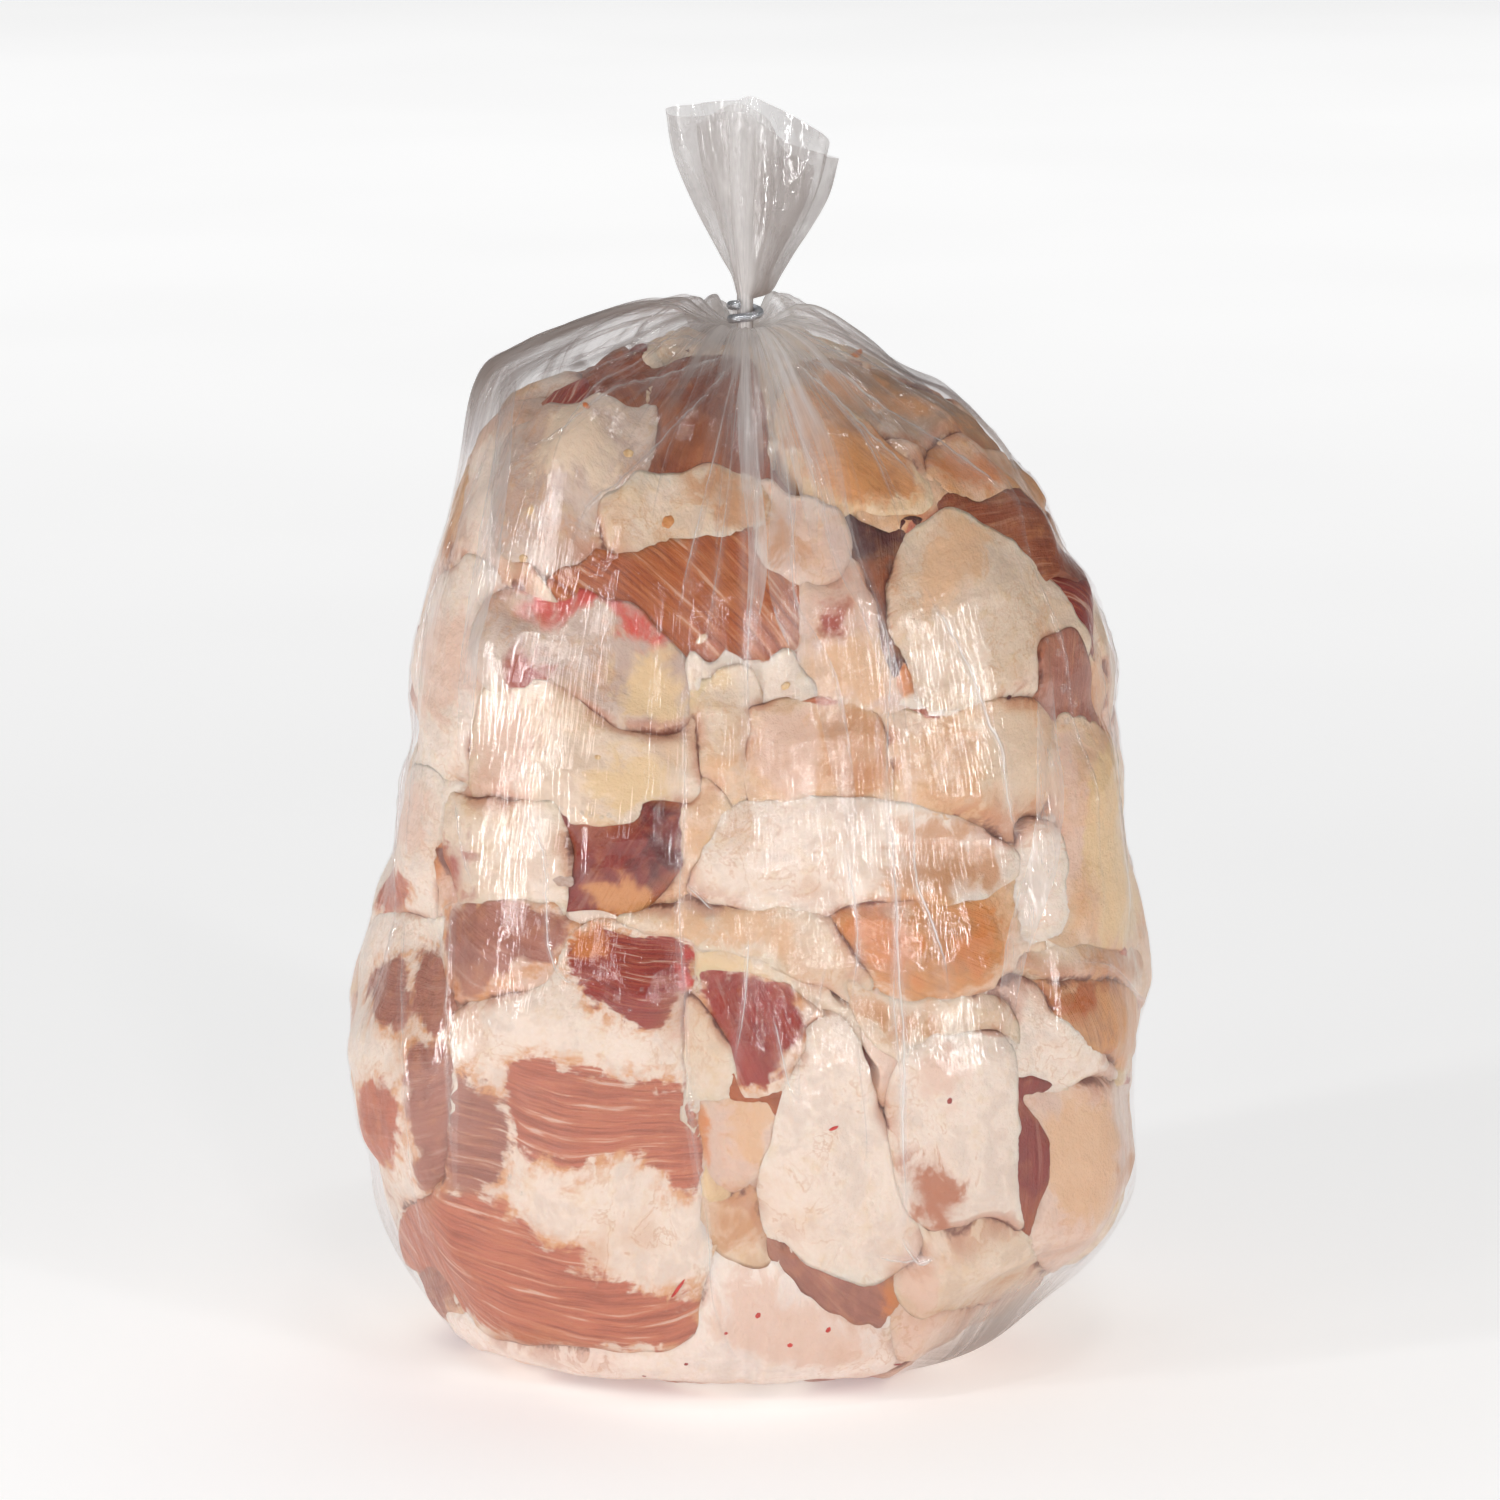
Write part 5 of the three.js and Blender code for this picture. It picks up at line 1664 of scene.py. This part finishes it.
class TailOperator(bpy.types.Operator):
    """Gather the film over the clip into an open ruffled tail"""
    bl_idname = "bagged_fat.gather_tail"
    bl_label = "Gather the tail"

    def execute(self, context):
        settings = context.scene.bagged_fat.film
        batch = Batch()
        for spread, tallness, seed in ((1.0, 0.965, 13), (0.66, 0.92, 9), (0.34, 0.85, 7)):
            batch.add(*self.wall(settings, spread, tallness, np.random.default_rng(seed)))
        batch.piece("film_tail", film_material(), "film", "bag")
        return {"FINISHED"}

    def wall(self, settings, spread, tallness, draw):
        """One wall of the tail, from under the clip to its open edge."""
        neck_rows, rows, columns = 10, 66, 300
        curves = {side: even_steps(curve_through(points, False), rows - neck_rows)
                  for side, points in TAIL_OUTLINES.items()}
        angle = TAU * np.arange(columns) / columns
        across, through = np.cos(angle), np.sin(angle)
        ruffles = ((2, 0.2), (3, 0.34), (5, 0.4), (8, 0.22), (13, 0.08))
        phases = draw.uniform(0, TAU, len(ruffles))
        rings, along, haze, dull = [], [], [], []
        for row in range(rows):
            step = max(row - neck_rows, 0)
            share = step / (rows - neck_rows - 1)
            side = np.where(across[:, None] < 0, curves["left"][step], curves["right"][step])
            face = np.where(through[:, None] < 0, curves["front"][step], curves["back"][step])
            reach = (np.abs(across / side[:, 0]) ** TAIL_SQUARENESS
                     + np.abs(through / face[:, 0]) ** TAIL_SQUARENESS) ** (-1 / TAIL_SQUARENESS)
            height = face[:, 1] * through**2 + side[:, 1] * across**2 - max(neck_rows - row, 0)
            wave = sum(weight * np.sin(count * angle + phase + 1.3 * share * math.sin(count))
                       for (count, weight), phase in zip(ruffles, phases))
            deep = (0.10 + 0.34 * smoothstep(0, 0.5, share)) * (0.3 + 0.7 * np.abs(through))
            reach = reach * (1 - (1 - spread) * smoothstep(0, 0.25, share)) * (1 + deep * (wave - 0.25))
            height = height * (1 - (1 - tallness) * share)
            uneven_rim = 1.3 * share**6
            height = height + uneven_rim * np.sin(3 * angle + phases[0]) * np.sin(angle + phases[1])
            rings.append(NECK + np.column_stack([reach * across, reach * through, height]) * MM)
            along.append(np.full(columns, share * 6))
            gathered, ruffled = smoothstep(0.3, 0, share), 0.85 + 0.3 * np.abs(wave)
            haze.append(settings.loose_haze * ruffled + 0.2 * gathered)
            sides, right_side = smoothstep(0.3, 1, np.abs(across)), smoothstep(0.1, 0.7, across)
            # Painted shade: the tail is greyed a little all over, more towards its sides, and most on its
            # right.
            dull.append(0.25 + 0.45 * sides + 0.3 * right_side)
        most_haze, streak_reach = 0.85, 8
        haze = np.clip(np.concatenate(haze), 0, most_haze)
        carried = film_carried(
            np.tile(angle, rows), np.concatenate(along), haze, np.concatenate(dull), streak_reach)
        return np.vstack(rings), ring_faces(rows, columns), carried


class ClipOperator(bpy.types.Operator):
    """Wind the aluminium wire round the neck"""
    bl_idname = "bagged_fat.wind_clip"
    bl_label = "Wind the clip"

    def execute(self, context):
        settings = context.scene.bagged_fat.clip
        steps, sides = 150, 24
        half = settings.wire / 2
        ring_reach = NECK_REACH + 0.3 * MM + half
        climb = (CLIP_HIGH[2] - CLIP_LOW[2]) - settings.wire
        share = np.linspace(0, 1, steps)
        angle = math.pi + share * settings.turns * TAU
        outward = np.column_stack([np.cos(angle), np.sin(angle), np.zeros(steps)])
        path = NECK + outward * ring_reach + np.outer((share - 0.5) * climb, [0, 0, 1])
        upward = np.cross(unit(np.gradient(path, axis=0)), outward)
        length_all = settings.turns * TAU * ring_reach
        from_end = np.minimum(share, 1 - share) * length_all
        rounded = np.sqrt(1 - (1 - np.clip(from_end / (0.8 * half), 0, 1)) ** 2).clip(0.05)
        around = TAU * np.arange(sides) / sides
        out, up = np.cos(around), np.sin(around)
        ring = out[None, :, None] * outward[:, None] + up[None, :, None] * upward[:, None]
        places = (path[:, None] + ring * (half * rounded)[:, None, None]).reshape(-1, 3)
        faces = ring_faces(steps, sides).tolist()
        faces += [list(range(sides))[::-1], list(range((steps - 1) * sides, steps * sides))]
        piece = new_piece("wire_clip", places, faces, wire_material(settings), "wire", "clip")
        along = np.repeat(share * length_all / MM, sides)
        carry(piece, "lie", np.column_stack([along, np.tile(out, steps), np.tile(up, steps)]))
        return {"FINISHED"}


class StageOperator(bpy.types.Operator):
    """Set the pale floor, the soft lights and the camera"""
    bl_idname = "bagged_fat.set_stage"
    bl_label = "Set the stage"

    def execute(self, context):
        settings = context.scene.bagged_fat.studio
        self.lay_floor(settings)
        self.add_light("key", settings.key, (0.3, 0.4), (-1.15, -1.15, 0.5), AIM)
        strips = (("left_strip", -60, 0.045), ("middle_strip", 9, 0.02), ("right_strip", 40, 0.034))
        away, tall, foot = 0.8, 0.52, 0.01
        target = AIM * [1, 1, 0] + [0, 0, foot + tall / 2]
        for name, turn, width in strips:
            out = np.array([math.sin(math.radians(turn)), -math.cos(math.radians(turn)), 0])
            self.add_light(name, settings.strips * width, (width, tall), target + out * away, target)
        self.add_light("top", settings.top, (0.3, 0.05), (0.25, -0.5, 1.5), AIM)
        self.add_light("fill", settings.fill, (1.3, 0.35), (-0.2, -1.7, 0.12), AIM * [1, 1, 0.5])
        self.add_light("backdrop", settings.backdrop, (7, 5), (0, 2.9, 2.2), (0, 2.9, 0), 110)
        context.scene.world = self.room(settings)
        context.scene.view_settings.view_transform = "Standard"
        context.scene.cycles.transparent_max_bounces = 24
        context.scene.cycles.max_bounces = 6
        self.add_camera(context)
        return {"FINISHED"}

    def room(self, settings):
        """Even light from all round, before a backdrop that looks as pale as the floor."""
        world = bpy.data.worlds.new("soft_room")
        world.use_nodes = True
        tree = world.node_tree
        backdrop = tree.nodes["Background"]
        backdrop.inputs["Color"].default_value = (1, 1, 1, 1)
        strength = tree.nodes.new("ShaderNodeMapRange")
        strength.inputs["To Min"].default_value = settings.sky
        strength.inputs["To Max"].default_value = settings.backdrop_glow
        seen = tree.nodes.new("ShaderNodeLightPath").outputs["Is Camera Ray"]
        tree.links.new(seen, strength.inputs["Value"])
        tree.links.new(strength.outputs["Result"], backdrop.inputs["Strength"])
        return world

    def lay_floor(self, settings):
        half, squares = 8.0, 16
        line = np.linspace(-half, half, squares + 1)
        x, y = np.meshgrid(line, line)
        just_under_bag = -0.4 * MM
        places = np.column_stack([x.ravel(), y.ravel(), np.full(x.size, just_under_bag)])
        width = squares + 1
        corners = [row * width + column for row in range(squares) for column in range(squares)]
        faces = [(corner, corner + 1, corner + width + 1, corner + width) for corner in corners]
        new_object("floor", places, faces, floor_material(settings))

    def add_light(self, name, power, size, place, target, spread=180):
        light = bpy.data.lights.new(name, "AREA")
        light.shape = "RECTANGLE"
        light.size, light.size_y = size
        light.energy = power
        light.spread = math.radians(spread)
        lamp = bpy.data.objects.new(name, light)
        lamp.location = place
        lamp.rotation_euler = (Vector(target) - Vector(place)).to_track_quat("-Z", "Y").to_euler()
        bpy.context.scene.collection.objects.link(lamp)

    def add_camera(self, context):
        lens = bpy.data.cameras.new("front")
        lens.sensor_width = 36
        lens.lens = lens.sensor_width * VIEW_DISTANCE / VIEW_WIDTH
        camera = bpy.data.objects.new("front", lens)
        camera.location = VIEW.eye
        camera.rotation_euler = (math.pi / 2 - VIEW_PITCH, 0, 0)
        context.scene.collection.objects.link(camera)
        context.scene.camera = camera


class BaggedFatPanel(bpy.types.Panel):
    """Builds the bag piece by piece"""
    bl_idname = "VIEW3D_PT_bagged_fat"
    bl_label = "Bagged fat"
    bl_space_type = "VIEW_3D"
    bl_region_type = "UI"
    bl_category = "Bagged fat"

    def draw(self, context):
        for operator in OPERATORS:
            self.layout.operator(operator.bl_idname)


OPERATORS = (StageOperator, TrimmingsOperator, FilmOperator, FoldsOperator, CrumbsOperator, TailOperator,
             ClipOperator)
CLASSES = (TrimmingTones, TrimmingSizes, FilmSettings, ClipSettings, StudioSettings, BaggedFatSettings,
           *OPERATORS, BaggedFatPanel)


def register():
    for kind in CLASSES:
        bpy.utils.register_class(kind)
    bpy.types.Scene.bagged_fat = bpy.props.PointerProperty(type=BaggedFatSettings)


def unregister():
    del bpy.types.Scene.bagged_fat
    for kind in reversed(CLASSES):
        bpy.utils.unregister_class(kind)


def main():
    register()
    bpy.ops.bagged_fat.set_stage()
    bpy.ops.bagged_fat.lay_trimmings()
    bpy.ops.bagged_fat.draw_film()
    bpy.ops.bagged_fat.fold_film()
    bpy.ops.bagged_fat.scatter_crumbs()
    bpy.ops.bagged_fat.gather_tail()
    bpy.ops.bagged_fat.wind_clip()


if __name__ == "__main__":
    main()
